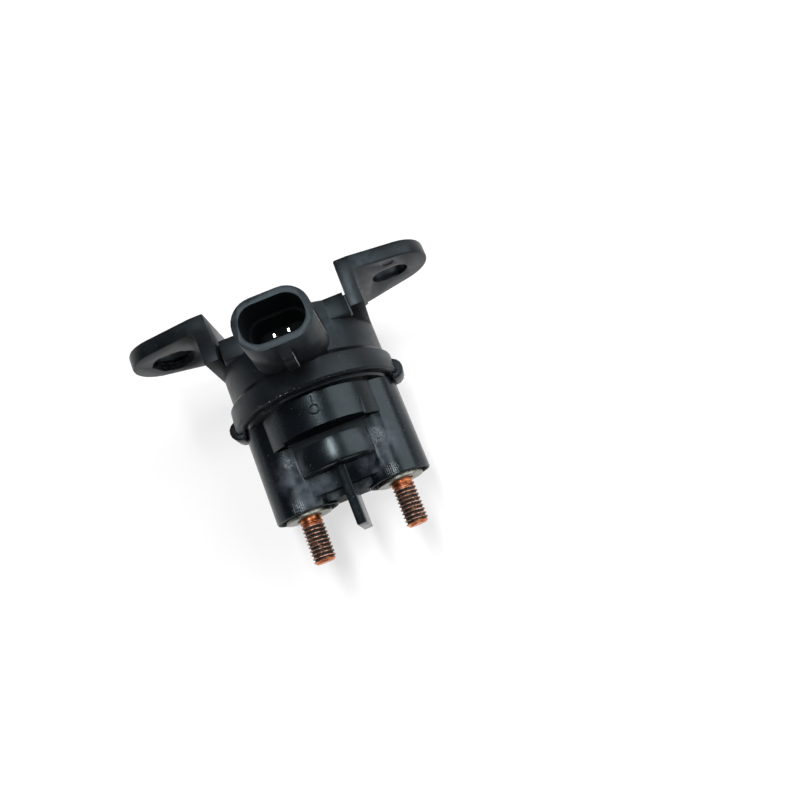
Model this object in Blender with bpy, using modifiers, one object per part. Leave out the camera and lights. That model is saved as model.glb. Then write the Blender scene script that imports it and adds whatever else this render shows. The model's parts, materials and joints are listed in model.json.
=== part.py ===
"""Starter relay: a moulded cover with two mounting ears and a connector tower, and a terminal
housing with two threaded studs. Inside, a coil pulls a plunger that closes a contact disc.

Every piece is laid out on the body's axis, which runs along Y. Y = 0 is the flange's face on
the stud side, the studs point along -Y, the ears lie at +Y and the connector points up, +Z.
One empty carries all of it, so that the origin is on the mounting plane, midway between the
two bolt holes.
"""

import math

import bpy
import bmesh
from mathutils import Vector

MM = 0.001

# Clearances
SEAT_GAP = 0.3 * MM
SLIDE_GAP = 0.2 * MM
CUT_MARGIN = 1.0 * MM

# Round body of the cover
BODY_RADIUS = 20.7 * MM
BODY_WALL = 2.4 * MM
COVER_DEPTH = 20.4 * MM
END_WALL = 2.6 * MM
EDGE_ROUND = 0.5 * MM

# Flange round the cover's open end
FLANGE_OVERHANG = 1.7 * MM
FLANGE_DRAFT = 0.4 * MM
FLANGE_STRAIGHT = 5.6 * MM
FLANGE_CONE = 1.4 * MM
SKIRT_WALL = 2.4 * MM
SKIRT_DEPTH = 5.2 * MM
LUG_RADIUS = 2.8 * MM
LUG_PROUD = 1.4 * MM
LUG_RISE = 1.3 * MM
LUG_WIDTH = 7.0 * MM

# End block with its square shoulders, and the legs that carry the ears
BLOCK_DEPTH = 5.8 * MM
BLOCK_DROP = 3.3 * MM
LEG_THICKNESS = 3.5 * MM
LEG_INSET = 0.2 * MM
LEG_RISE = 3.5 * MM
SHOULDER_GROOVE = 0.7 * MM
SHOULDER_GROOVE_DEPTH = 2.6 * MM

# Mounting ears
STANDOFF = 6.9 * MM
EAR_THICKNESS = 4.0 * MM
EAR_BOTTOM = -5.0 * MM
EAR_TIP_RADIUS = 9.0 * MM
EAR_TIP_OFFSET = 1.3 * MM
EAR_FILLET = 1.6 * MM
HOLE_SPACING = 59.4 * MM
HOLE_RISE = 9.6 * MM
SLOT_LENGTH = 9.6 * MM
SLOT_WIDTH = 6.6 * MM
TORN_RADIUS = 6.1 * MM
TORN_DROP = 1.0 * MM
TORN_DEPTH = 2.2 * MM
TORN_TAPER = 1.6 * MM
EJECTOR_MARK_RADIUS = 1.5 * MM
EJECTOR_MARK_DEPTH = 0.2 * MM
EJECTOR_MARK_RISE = 6.9 * MM

# Connector tower
TOWER_WIDTH = 18.2 * MM
TOWER_DEPTH = 12.7 * MM
TOWER_CORNER = 5.8 * MM
TOWER_RISE = 18.1 * MM
TOWER_SETBACK = 8.55 * MM
TOWER_WALL = 1.6 * MM
TOWER_DRAFT = 0.5 * MM
SOCKET_DEPTH = 16.8 * MM
SOCKET_STEP_DEPTH = 9.0 * MM
SOCKET_STEP = 0.8 * MM
LATCH_WIDTH = 2.8 * MM
LATCH_X = -0.2 * MM
LATCH_LENGTH = 10.8 * MM
LATCH_STEP_AT = 6.2 * MM
LATCH_STEP = 0.6 * MM
LATCH_PROUD = 2.7 * MM

# Connector pins
PIN_WIDTH = 1.5 * MM
PIN_THICKNESS = 0.8 * MM
PIN_SPACING = 3.5 * MM
PIN_TAPER = 0.5 * MM
PIN_LENGTH_IN_SOCKET = 6.6 * MM
PIN_TAIL = 2.0 * MM

# Studs, washers and collars
STUD_SPACING = 24.8 * MM
STUD_RADIUS = 3.0 * MM
STUD_HEAD_RADIUS = 5.6 * MM
STUD_HEAD_HEIGHT = 2.5 * MM
STUD_PROUD = 12.5 * MM
STUD_CHAMFER = 0.7 * MM
COLLAR_RADIUS = 8.2 * MM
COLLAR_REACH = 25.3 * MM
WASHER_RADIUS = 6.7 * MM
WASHER_THICKNESS = 1.4 * MM
WASHER_PROUD = 0.75 * MM
WASHER_GAP = 0.6 * MM
STUD_SEAL_WIRE = 0.7 * MM

# Terminal housing
DISC_LIP = 0.5 * MM
HOUSING_FLOOR_TOP = 0.6 * MM
CHAMBER_INSET = 5.4 * MM
CHAMBER_WALL = 1.7 * MM
CHAMBER_DEPTH = 7.3 * MM
CHAMBER_BASE = 1.8 * MM
FLAT_HALF_DEPTH = 7.3 * MM
FLAT_SETBACK = 2.5 * MM
WEB_HALF_DEPTH = 5.0 * MM
WEB_SETBACK = 0.6 * MM
POCKET_BLOCK_RADIUS = 13.5 * MM
POCKET_BLOCK_HALF_WIDTH = 9.5 * MM
POCKET_BLOCK_REACH = 18.0 * MM
POCKET_RADIUS = 5.4 * MM
POCKET_WALL = 1.6 * MM
FIN_HALF_WIDTH = 1.2 * MM
FIN_TOP = 8.4 * MM
FIN_BOTTOM = -7.1 * MM
FIN_PROUD = 7.9 * MM
MOULD_ROUND = 0.7 * MM

# Seal between the cover and the housing
SEAL_WIRE_RADIUS = 0.75 * MM

# Steel circuit and coil
STEEL_THICKNESS = 1.6 * MM
CORE_RADIUS = 4.9 * MM
CORE_LENGTH = 7.3 * MM
CORE_SHOULDER = 1.0 * MM
SLEEVE_WALL = 0.3 * MM
BOBBIN_WALL = 1.0 * MM
BOBBIN_FLANGE = 1.2 * MM
WINDING_ROOM = 1.8 * MM
LEAD_WIRE_RADIUS = 0.35 * MM
LEAD_INSET = 0.85 * MM
LEAD_WINDOW = 7.4 * MM
LEAD_WINDOW_MARGIN = 1.9 * MM

# Armature and moving contact
STROKE = 3.0 * MM
CONTACT_TRAVEL = 2.6 * MM
CLOSING_GAP = 0.1 * MM
ROD_RADIUS = 1.5 * MM
ROD_SHOULDER_RADIUS = 3.0 * MM
ROD_SHOULDER_HEIGHT = 0.8 * MM
ROD_TAIL = 4.5 * MM
CONTACT_CLEARANCE = 0.8 * MM
CONTACT_THICKNESS = 1.4 * MM
BUSH_WALL = 1.1 * MM
BUSH_FLANGE_RADIUS = 4.4 * MM
BUSH_FLANGE_HEIGHT = 0.9 * MM
INSULATOR_THICKNESS = 0.9 * MM
CLIP_THICKNESS = 0.5 * MM
CLIP_RADIUS = 3.2 * MM
CLIP_GROOVE = 0.4 * MM
SEAT_RADIUS = 4.4 * MM
SEAT_THICKNESS = 0.8 * MM

# Springs
CONTACT_SPRING_WIRE = 0.3 * MM
CONTACT_SPRING_TURNS = 3.5
CONTACT_SPRING_ROOM = 1.6 * MM
RETURN_SPRING_WIRE = 0.4 * MM
RETURN_SPRING_TURNS = 5

# Pitch of a spring's closed end turns, in wire diameters
CLOSED_PITCH = 1.1

# Waves round the torn rim of the left ear's hole: how many, how deep and where they start
TEAR_WAVES = ((3, 0.3 * MM, 0.6), (7, 0.2 * MM, 0.0), (13, 0.12 * MM, 1.1))

# How finely round shapes are drawn
LARGE_STEPS = 64
SMALL_STEPS = 32
ARC_STEPS = 8
COIL_STEPS = 12
SEAL_STEPS = 6

# Places that follow from the sizes above, as distances along the body's axis
MOUNT_Y = COVER_DEPTH + STANDOFF
EAR_FRONT_Y = MOUNT_Y - EAR_THICKNESS
BLOCK_FRONT_Y = COVER_DEPTH - BLOCK_DEPTH
BLOCK_TOP = BODY_RADIUS - BLOCK_DROP
CAVITY_RADIUS = BODY_RADIUS - BODY_WALL
CAVITY_END_Y = COVER_DEPTH - END_WALL
FLANGE_RADIUS = BODY_RADIUS + FLANGE_OVERHANG
SKIRT_RADIUS = FLANGE_RADIUS - SKIRT_WALL
LEG_OUTER_X = BODY_RADIUS - LEG_INSET
LEG_INNER_X = LEG_OUTER_X - LEG_THICKNESS
EAR_TOP = BLOCK_TOP + LEG_RISE
EAR_TIP_X = HOLE_SPACING / 2 + EAR_TIP_OFFSET
TOWER_TOP = BODY_RADIUS + TOWER_RISE
TOWER_Y = COVER_DEPTH - TOWER_SETBACK
STUD_X = STUD_SPACING / 2
STUD_REACH = COLLAR_REACH + STUD_PROUD
FLAT_REACH = COLLAR_REACH - FLAT_SETBACK
WEB_REACH = COLLAR_REACH - WEB_SETBACK
FIN_REACH = COLLAR_REACH + FIN_PROUD
CHAMBER_RADIUS = SKIRT_RADIUS - CHAMBER_INSET
CONTACT_RADIUS = CHAMBER_RADIUS - CONTACT_CLEARANCE
CHAMBER_FLOOR_Y = -CHAMBER_DEPTH
DISC_RADIUS = SKIRT_RADIUS - SEAT_GAP
HEAD_BASE_Y = CHAMBER_FLOOR_Y + SEAT_GAP
HEAD_FACE_Y = HEAD_BASE_Y + STUD_HEAD_HEIGHT
CONTACT_FACE_Y = HEAD_FACE_Y + CLOSING_GAP + CONTACT_TRAVEL
CONTACT_BACK_Y = CONTACT_FACE_Y + CONTACT_THICKNESS
PLATE_Y = HOUSING_FLOOR_TOP + SEAT_GAP
PLATE_BACK_Y = PLATE_Y + STEEL_THICKNESS
STEEL_RADIUS = CAVITY_RADIUS - SEAT_GAP
YOKE_Y = PLATE_BACK_Y + SEAT_GAP
YOKE_BACK_Y = CAVITY_END_Y - SEAT_GAP
YOKE_INNER_BACK_Y = YOKE_BACK_Y - STEEL_THICKNESS
YOKE_INNER_RADIUS = STEEL_RADIUS - STEEL_THICKNESS
WINDING_RADIUS = YOKE_INNER_RADIUS - WINDING_ROOM
CORE_TOP_Y = PLATE_Y + CORE_LENGTH
PLUNGER_RADIUS = CORE_RADIUS + SEAT_GAP - SLIDE_GAP
SLEEVE_RADIUS = CORE_RADIUS + SEAT_GAP + SLEEVE_WALL
BOBBIN_BORE = SLEEVE_RADIUS + SEAT_GAP
BOBBIN_END_Y = YOKE_INNER_BACK_Y - SEAT_GAP
ROD_BORE = ROD_RADIUS + SLIDE_GAP
BUSH_RADIUS = ROD_BORE + BUSH_WALL
BUSH_FLANGE_Y = CONTACT_BACK_Y + SLIDE_GAP
BUSH_BACK_Y = BUSH_FLANGE_Y + BUSH_FLANGE_HEIGHT
BUSH_END_Y = CONTACT_FACE_Y - SLIDE_GAP
INSULATOR_Y = BUSH_END_Y - SLIDE_GAP
CLIP_Y = INSULATOR_Y - INSULATOR_THICKNESS - SEAT_GAP
SEAT_Y = CLIP_Y - CLIP_THICKNESS - SEAT_GAP
ROD_END_Y = SEAT_Y - SEAT_THICKNESS - ROD_TAIL
POCKET_FLOOR_Y = POCKET_WALL - POCKET_BLOCK_REACH
ROD_SHOULDER_Y = BUSH_BACK_Y + STROKE + CONTACT_SPRING_ROOM
COUNTERBORE_END_Y = ROD_SHOULDER_Y + ROD_SHOULDER_HEIGHT + SEAT_GAP
COUNTERBORE_RADIUS = ROD_SHOULDER_RADIUS + SLIDE_GAP
SOCKET_FLOOR_Z = TOWER_TOP - SOCKET_DEPTH
PIN_TIP_Z = SOCKET_FLOOR_Z + PIN_LENGTH_IN_SOCKET
PIN_TAIL_Z = CAVITY_RADIUS - PIN_TAIL
WASHER_FACE_Y = -COLLAR_REACH - WASHER_PROUD
WASHER_SEAT_Y = WASHER_FACE_Y + WASHER_THICKNESS + SEAT_GAP

# Turning each shape's own Z axis, or its flat outline, into place
TO_Y = (-math.pi / 2, 0, 0)
FACING_Y = (math.pi / 2, 0, 0)
FACING_X = (math.pi / 2, 0, math.pi / 2)
FACING_Z = (0, 0, 0)


def clear_scene():
    for obj in list(bpy.data.objects):
        bpy.data.objects.remove(obj)


def new_collection(name):
    collection = bpy.data.collections.new(name)
    bpy.context.scene.collection.children.link(collection)
    return collection


def new_material(name, colour, roughness, metallic):
    material = bpy.data.materials.new(name)
    material.use_nodes = True
    shader = material.node_tree.nodes["Principled BSDF"]
    shader.inputs["Base Color"].default_value = (*colour, 1)
    shader.inputs["Roughness"].default_value = roughness
    shader.inputs["Metallic"].default_value = metallic
    material.diffuse_color = (*colour, 1)
    return material


def as_part(obj, material):
    """Puts a finished shape among the relay's pieces."""
    parts.objects.link(obj)
    obj.parent = origin
    obj.data.materials.clear()
    obj.data.materials.append(material)
    return obj


def as_tool(obj):
    """Puts a shape that cuts or joins another among the hidden tools."""
    tools.objects.link(obj)
    obj.parent = origin
    obj.hide_render = True
    obj.display_type = "WIRE"
    return obj


def combine(target, operation, *shapes, solver="EXACT"):
    """Adds one Boolean modifier to the target for each shape."""
    for shape in shapes:
        modifier = target.modifiers.new(shape.name, "BOOLEAN")
        modifier.operation = operation
        modifier.solver = solver
        modifier.object = as_tool(shape)
    return target


def round_edges(obj, width, segments=2):
    bevel = obj.modifiers.new("rounded edges", "BEVEL")
    bevel.width = width
    bevel.segments = segments
    bevel.limit_method = "ANGLE"
    bevel.angle_limit = math.radians(50)
    return obj


def turned(name, profile, steps=SMALL_STEPS, x=0.0):
    """A shape turned about the body's axis, or one beside it. The profile is pairs of radius and
    place along Y. It runs along the outer side from +Y to -Y, and back along the bore if any."""
    mesh = bpy.data.meshes.new(name)
    count = len(profile)
    edges = [(i, i + 1) for i in range(count - 1)]
    if all(radius > 0 for radius, _ in profile):
        edges.append((count - 1, 0))
    mesh.from_pydata([(radius, 0, place) for radius, place in profile], edges, [])
    obj = bpy.data.objects.new(name, mesh)
    obj.rotation_euler = TO_Y
    obj.location.x = x
    screw = obj.modifiers.new("turn", "SCREW")
    screw.axis = "Z"
    screw.steps = steps
    screw.render_steps = steps
    screw.use_merge_vertices = True
    screw.merge_threshold = 0.00001
    screw.use_smooth_shade = True
    return obj


def ring(name, outer, inner, low, high, steps=SMALL_STEPS, x=0.0):
    """A plain washer or tube between two places along Y."""
    return turned(name, [(outer, high), (outer, low), (inner, low), (inner, high)], steps, x)


def rod(name, radius, low, high, steps=SMALL_STEPS, x=0.0):
    """A plain round bar between two places along Y."""
    return turned(name, [(0, high), (radius, high), (radius, low), (0, low)], steps, x)


def arc(centre, radius, start, end, steps=ARC_STEPS):
    """Points on an arc, from one angle in degrees to another."""
    angles = [math.radians(start + (end - start) * i / steps) for i in range(steps + 1)]
    return [
        (centre[0] + radius * math.cos(angle), centre[1] + radius * math.sin(angle))
        for angle in angles
    ]


def rounded_rectangle(width, depth, corner, centre=(0.0, 0.0)):
    points = []
    for quarter, (side_x, side_y) in enumerate(((1, 1), (-1, 1), (-1, -1), (1, -1))):
        middle = (
            centre[0] + side_x * (width / 2 - corner),
            centre[1] + side_y * (depth / 2 - corner),
        )
        points += arc(middle, corner, 90 * quarter, 90 * quarter + 90)
    return points


def flat_shape(name, outline, thickness, facing, location):
    """A flat outline given a thickness. Its middle plane is at the location."""
    curve = bpy.data.curves.new(name, "CURVE")
    curve.dimensions = "2D"
    curve.fill_mode = "BOTH"
    curve.extrude = thickness / 2
    spline = curve.splines.new("POLY")
    spline.points.add(len(outline) - 1)
    for point, (x, y) in zip(spline.points, outline):
        point.co = (x, y, 0, 1)
    spline.use_cyclic_u = True
    drawn = bpy.data.objects.new(name, curve)
    bpy.context.scene.collection.objects.link(drawn)
    mesh = bpy.data.meshes.new_from_object(
        drawn.evaluated_get(bpy.context.evaluated_depsgraph_get())
    )
    bpy.data.objects.remove(drawn)
    solid = bmesh.new()
    solid.from_mesh(mesh)
    bmesh.ops.remove_doubles(solid, verts=solid.verts, dist=0.000001)
    bmesh.ops.dissolve_limit(
        solid, angle_limit=math.radians(1), verts=solid.verts, edges=solid.edges
    )
    bmesh.ops.recalc_face_normals(solid, faces=solid.faces)
    solid.to_mesh(mesh)
    solid.free()
    mesh.name = name
    obj = bpy.data.objects.new(name, mesh)
    obj.rotation_euler = facing
    obj.location = location
    return obj


def box(name, low, high):
    """A block between two corners."""
    mesh = bpy.data.meshes.new(name)
    solid = bmesh.new()
    bmesh.ops.create_cube(solid, size=1)
    size = Vector(high) - Vector(low)
    bmesh.ops.scale(solid, vec=size, verts=solid.verts)
    solid.to_mesh(mesh)
    solid.free()
    obj = bpy.data.objects.new(name, mesh)
    obj.location = (Vector(low) + Vector(high)) / 2
    return obj


def drafted(obj, grow):
    """Gives a flat shape sloping sides: its lower face is widened by grow at its widest point."""
    spread = max(abs(vertex.co.x) for vertex in obj.data.vertices)
    for vertex in obj.data.vertices:
        if vertex.co.z < 0:
            vertex.co.x *= 1 + grow / spread
            vertex.co.y *= 1 + grow / spread
    return obj


def wire(name, points, radius):
    """A round wire through the points."""
    curve = bpy.data.curves.new(name, "CURVE")
    curve.dimensions = "3D"
    curve.bevel_depth = radius
    curve.bevel_resolution = 2
    curve.use_fill_caps = True
    spline = curve.splines.new("POLY")
    spline.points.add(len(points) - 1)
    for point, place in zip(spline.points, points):
        point.co = (*place, 1)
    return bpy.data.objects.new(name, curve)


def spring(name, low, high, outer_radius, wire_radius, turns):
    """A coil spring on the body's axis between two places along Y, with closed end turns."""
    count = int(turns * COIL_STEPS)
    radius = outer_radius - wire_radius
    start = low + wire_radius
    travel = high - low - 2 * wire_radius
    closed = CLOSED_PITCH * 2 * wire_radius / travel
    points = []
    for i in range(count + 1):
        share = i / count
        turn = share * turns
        if turn < 1:
            along = closed * turn
        elif turn > turns - 1:
            along = 1 - closed * (turns - turn)
        else:
            along = closed + (1 - 2 * closed) * (turn - 1) / (turns - 2)
        angle = 2 * math.pi * turn
        points.append((radius * math.cos(angle), start + travel * along, radius * math.sin(angle)))
    return wire(name, points, wire_radius)


def tangent_point(corner, centre, radius, side):
    """Where the line from a corner touches a circle, on its left (side 1) or right (-1)."""
    away = Vector(centre) - Vector(corner)
    lean = side * math.asin(radius / away.length)
    length = math.sqrt(away.length**2 - radius**2)
    heading = math.atan2(away.y, away.x) + lean
    return (corner[0] + length * math.cos(heading), corner[1] + length * math.sin(heading))


def ear_outline(side):
    """The ear seen along Y: a wide root that narrows to a round tip. Side is 1 or -1."""
    centre = (EAR_TIP_X, HOLE_RISE)
    top = tangent_point((LEG_OUTER_X, EAR_TOP), centre, EAR_TIP_RADIUS, 1)
    bottom = tangent_point((LEG_OUTER_X, EAR_BOTTOM), centre, EAR_TIP_RADIUS, -1)
    start = math.degrees(math.atan2(top[1] - centre[1], top[0] - centre[0]))
    end = math.degrees(math.atan2(bottom[1] - centre[1], bottom[0] - centre[0]))
    tip = arc(centre, EAR_TIP_RADIUS, start, end, 2 * ARC_STEPS)
    root = [(LEG_OUTER_X, EAR_BOTTOM), (LEG_INNER_X, EAR_BOTTOM)]
    root += [(LEG_INNER_X, EAR_TOP), (LEG_OUTER_X, EAR_TOP)]
    return [(side * x, z) for x, z in tip + root]


def leg_outline(side):
    """The leg seen from above: a bar along Y with a fillet where the ear leaves it."""
    fillet_centre = (LEG_OUTER_X + EAR_FILLET, EAR_FRONT_Y - EAR_FILLET)
    fillet = arc(fillet_centre, EAR_FILLET, 180, 90)
    end_y = MOUNT_Y - EAR_THICKNESS / 2
    points = [(LEG_INNER_X, BLOCK_FRONT_Y), (LEG_OUTER_X, BLOCK_FRONT_Y)]
    points += fillet
    points += [(LEG_OUTER_X + EAR_FILLET, end_y), (LEG_INNER_X, end_y)]
    return [(side * x, y) for x, y in points]


def slot_outline():
    """The bolt slot in each ear, with round ends."""
    radius = SLOT_WIDTH / 2
    reach = SLOT_LENGTH / 2 - radius
    return arc((reach, 0), radius, -90, 90) + arc((-reach, 0), radius, 90, 270)


def torn_outline():
    """The ragged rim of the crater that is broken out round the left ear's slot."""
    steps = 4 * ARC_STEPS
    points = []
    for i in range(steps):
        angle = 2 * math.pi * i / steps
        waves = [depth * math.sin(count * angle + start) for count, depth, start in TEAR_WAVES]
        reach = TORN_RADIUS + sum(waves)
        points.append((reach * math.cos(angle), reach * math.sin(angle)))
    return points


def latch_outline():
    """The latch ramp seen along X: it leaves the tower's rim and ends in an undercut."""
    front = TOWER_Y - TOWER_DEPTH / 2
    inside = front + TOWER_WALL / 2
    top = TOWER_TOP - EDGE_ROUND
    step = top - LATCH_STEP_AT
    slope = (LATCH_PROUD - LATCH_STEP) / LATCH_LENGTH
    return [
        (inside, top),
        (front, top),
        (front - slope * LATCH_STEP_AT, step),
        (front - slope * LATCH_STEP_AT - LATCH_STEP, step - LATCH_STEP),
        (front - LATCH_PROUD, top - LATCH_LENGTH),
        (inside, top - LATCH_LENGTH),
    ]


def build_cover():
    cover = turned(
        "cover",
        [
            (0, COVER_DEPTH),
            (BODY_RADIUS - EDGE_ROUND, COVER_DEPTH),
            (BODY_RADIUS, COVER_DEPTH - EDGE_ROUND),
            (BODY_RADIUS, FLANGE_STRAIGHT + FLANGE_CONE),
            (FLANGE_RADIUS - FLANGE_DRAFT, FLANGE_STRAIGHT),
            (FLANGE_RADIUS, EDGE_ROUND),
            (FLANGE_RADIUS - EDGE_ROUND, 0),
            (0, 0),
        ],
        LARGE_STEPS,
    )
    block = box(
        "end_block",
        (-LEG_OUTER_X + SEAT_GAP, BLOCK_FRONT_Y, EAR_BOTTOM),
        (LEG_OUTER_X - SEAT_GAP, COVER_DEPTH, BLOCK_TOP),
    )
    combine(cover, "UNION", round_edges(block, EDGE_ROUND))
    for side, name in ((-1, "left"), (1, "right")):
        leg = flat_shape(
            f"{name}_leg",
            leg_outline(side),
            EAR_TOP - EAR_BOTTOM,
            FACING_Z,
            (0, 0, (EAR_TOP + EAR_BOTTOM) / 2),
        )
        ear = flat_shape(
            f"{name}_ear",
            ear_outline(side),
            EAR_THICKNESS,
            FACING_Y,
            (0, MOUNT_Y - EAR_THICKNESS / 2, 0),
        )
        lug = flat_shape(
            f"{name}_lug",
            arc((0, 0), LUG_RADIUS, 0, 360, 2 * ARC_STEPS)[:-1],
            LUG_WIDTH,
            FACING_Z,
            (side * (FLANGE_RADIUS + LUG_PROUD - LUG_RADIUS), LUG_RISE, 0),
        )
        groove = box(
            f"{name}_shoulder_groove",
            (
                side * LEG_INNER_X - (SHOULDER_GROOVE if side > 0 else 0),
                BLOCK_FRONT_Y - CUT_MARGIN,
                BLOCK_TOP - SHOULDER_GROOVE_DEPTH,
            ),
            (
                side * LEG_INNER_X + (SHOULDER_GROOVE if side < 0 else 0),
                COVER_DEPTH + CUT_MARGIN,
                BLOCK_TOP + CUT_MARGIN,
            ),
        )
        combine(cover, "UNION", leg, round_edges(ear, EDGE_ROUND), round_edges(lug, EDGE_ROUND))
        combine(cover, "DIFFERENCE", groove)
    tower = flat_shape(
        "tower",
        rounded_rectangle(TOWER_WIDTH, TOWER_DEPTH, TOWER_CORNER),
        TOWER_TOP - BLOCK_TOP + BODY_WALL,
        FACING_Z,
        (0, TOWER_Y, (TOWER_TOP + BLOCK_TOP - BODY_WALL) / 2),
    )
    latch = flat_shape("latch", latch_outline(), LATCH_WIDTH, FACING_X, (LATCH_X, 0, 0))
    combine(cover, "UNION", drafted(tower, TOWER_DRAFT), latch)
    collar_room = STUD_X + COLLAR_RADIUS + SEAT_GAP
    cavity = turned(
        "coil_cavity",
        [
            (0, CAVITY_END_Y),
            (CAVITY_RADIUS, CAVITY_END_Y),
            (CAVITY_RADIUS, SKIRT_DEPTH),
            (SKIRT_RADIUS, SKIRT_DEPTH),
            (SKIRT_RADIUS, -SEAT_GAP / 2),
            (collar_room, -SEAT_GAP / 2),
            (collar_room, -LUG_RADIUS - CUT_MARGIN),
            (0, -LUG_RADIUS - CUT_MARGIN),
        ],
        LARGE_STEPS,
    )
    upper_socket = socket_cutter("upper_socket", TOWER_WALL, -CUT_MARGIN, SOCKET_STEP_DEPTH)
    lower_socket = socket_cutter(
        "lower_socket", TOWER_WALL + SOCKET_STEP, SOCKET_STEP_DEPTH - CUT_MARGIN, SOCKET_DEPTH
    )
    combine(cover, "DIFFERENCE", upper_socket, lower_socket)
    combine(cover, "DIFFERENCE", cavity, solver="MANIFOLD")
    for side, name in ((-1, "left"), (1, "right")):
        half_width = PIN_WIDTH / 2 + SEAT_GAP / 2
        half_depth = PIN_THICKNESS / 2 + SEAT_GAP / 2
        pin_x = side * PIN_SPACING / 2
        slot = box(
            f"{name}_pin_slot",
            (pin_x - half_width, TOWER_Y - half_depth, CAVITY_RADIUS - CUT_MARGIN),
            (pin_x + half_width, TOWER_Y + half_depth, SOCKET_FLOOR_Z + CUT_MARGIN),
        )
        combine(cover, "DIFFERENCE", slot)
    through = EAR_THICKNESS + 2 * CUT_MARGIN
    middle_y = MOUNT_Y - EAR_THICKNESS / 2
    torn_rim = flat_shape(
        "torn_rim",
        torn_outline(),
        TORN_DEPTH + CUT_MARGIN,
        FACING_Y,
        (-HOLE_SPACING / 2, EAR_FRONT_Y + (TORN_DEPTH - CUT_MARGIN) / 2, HOLE_RISE - TORN_DROP),
    )
    mark = rod(
        "ejector_mark",
        EJECTOR_MARK_RADIUS,
        EAR_FRONT_Y - CUT_MARGIN,
        EAR_FRONT_Y + EJECTOR_MARK_DEPTH,
        x=HOLE_SPACING / 2,
    )
    mark.location.z = HOLE_RISE + EJECTOR_MARK_RISE
    combine(cover, "DIFFERENCE", drafted(torn_rim, -TORN_TAPER), mark)
    for side, name in ((-1, "left"), (1, "right")):
        bolt_slot = flat_shape(
            f"{name}_bolt_slot",
            slot_outline(),
            through,
            FACING_Y,
            (side * HOLE_SPACING / 2, middle_y, HOLE_RISE),
        )
        combine(cover, "DIFFERENCE", bolt_slot)
    return as_part(cover, black_plastic)


def socket_cutter(name, wall, start, end):
    """A stretch of the connector tower's hollow, between two depths below its rim."""
    return flat_shape(
        name,
        rounded_rectangle(TOWER_WIDTH - 2 * wall, TOWER_DEPTH - 2 * wall, TOWER_CORNER - wall),
        end - start,
        FACING_Z,
        (0, TOWER_Y, TOWER_TOP - (start + end) / 2),
    )


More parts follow.
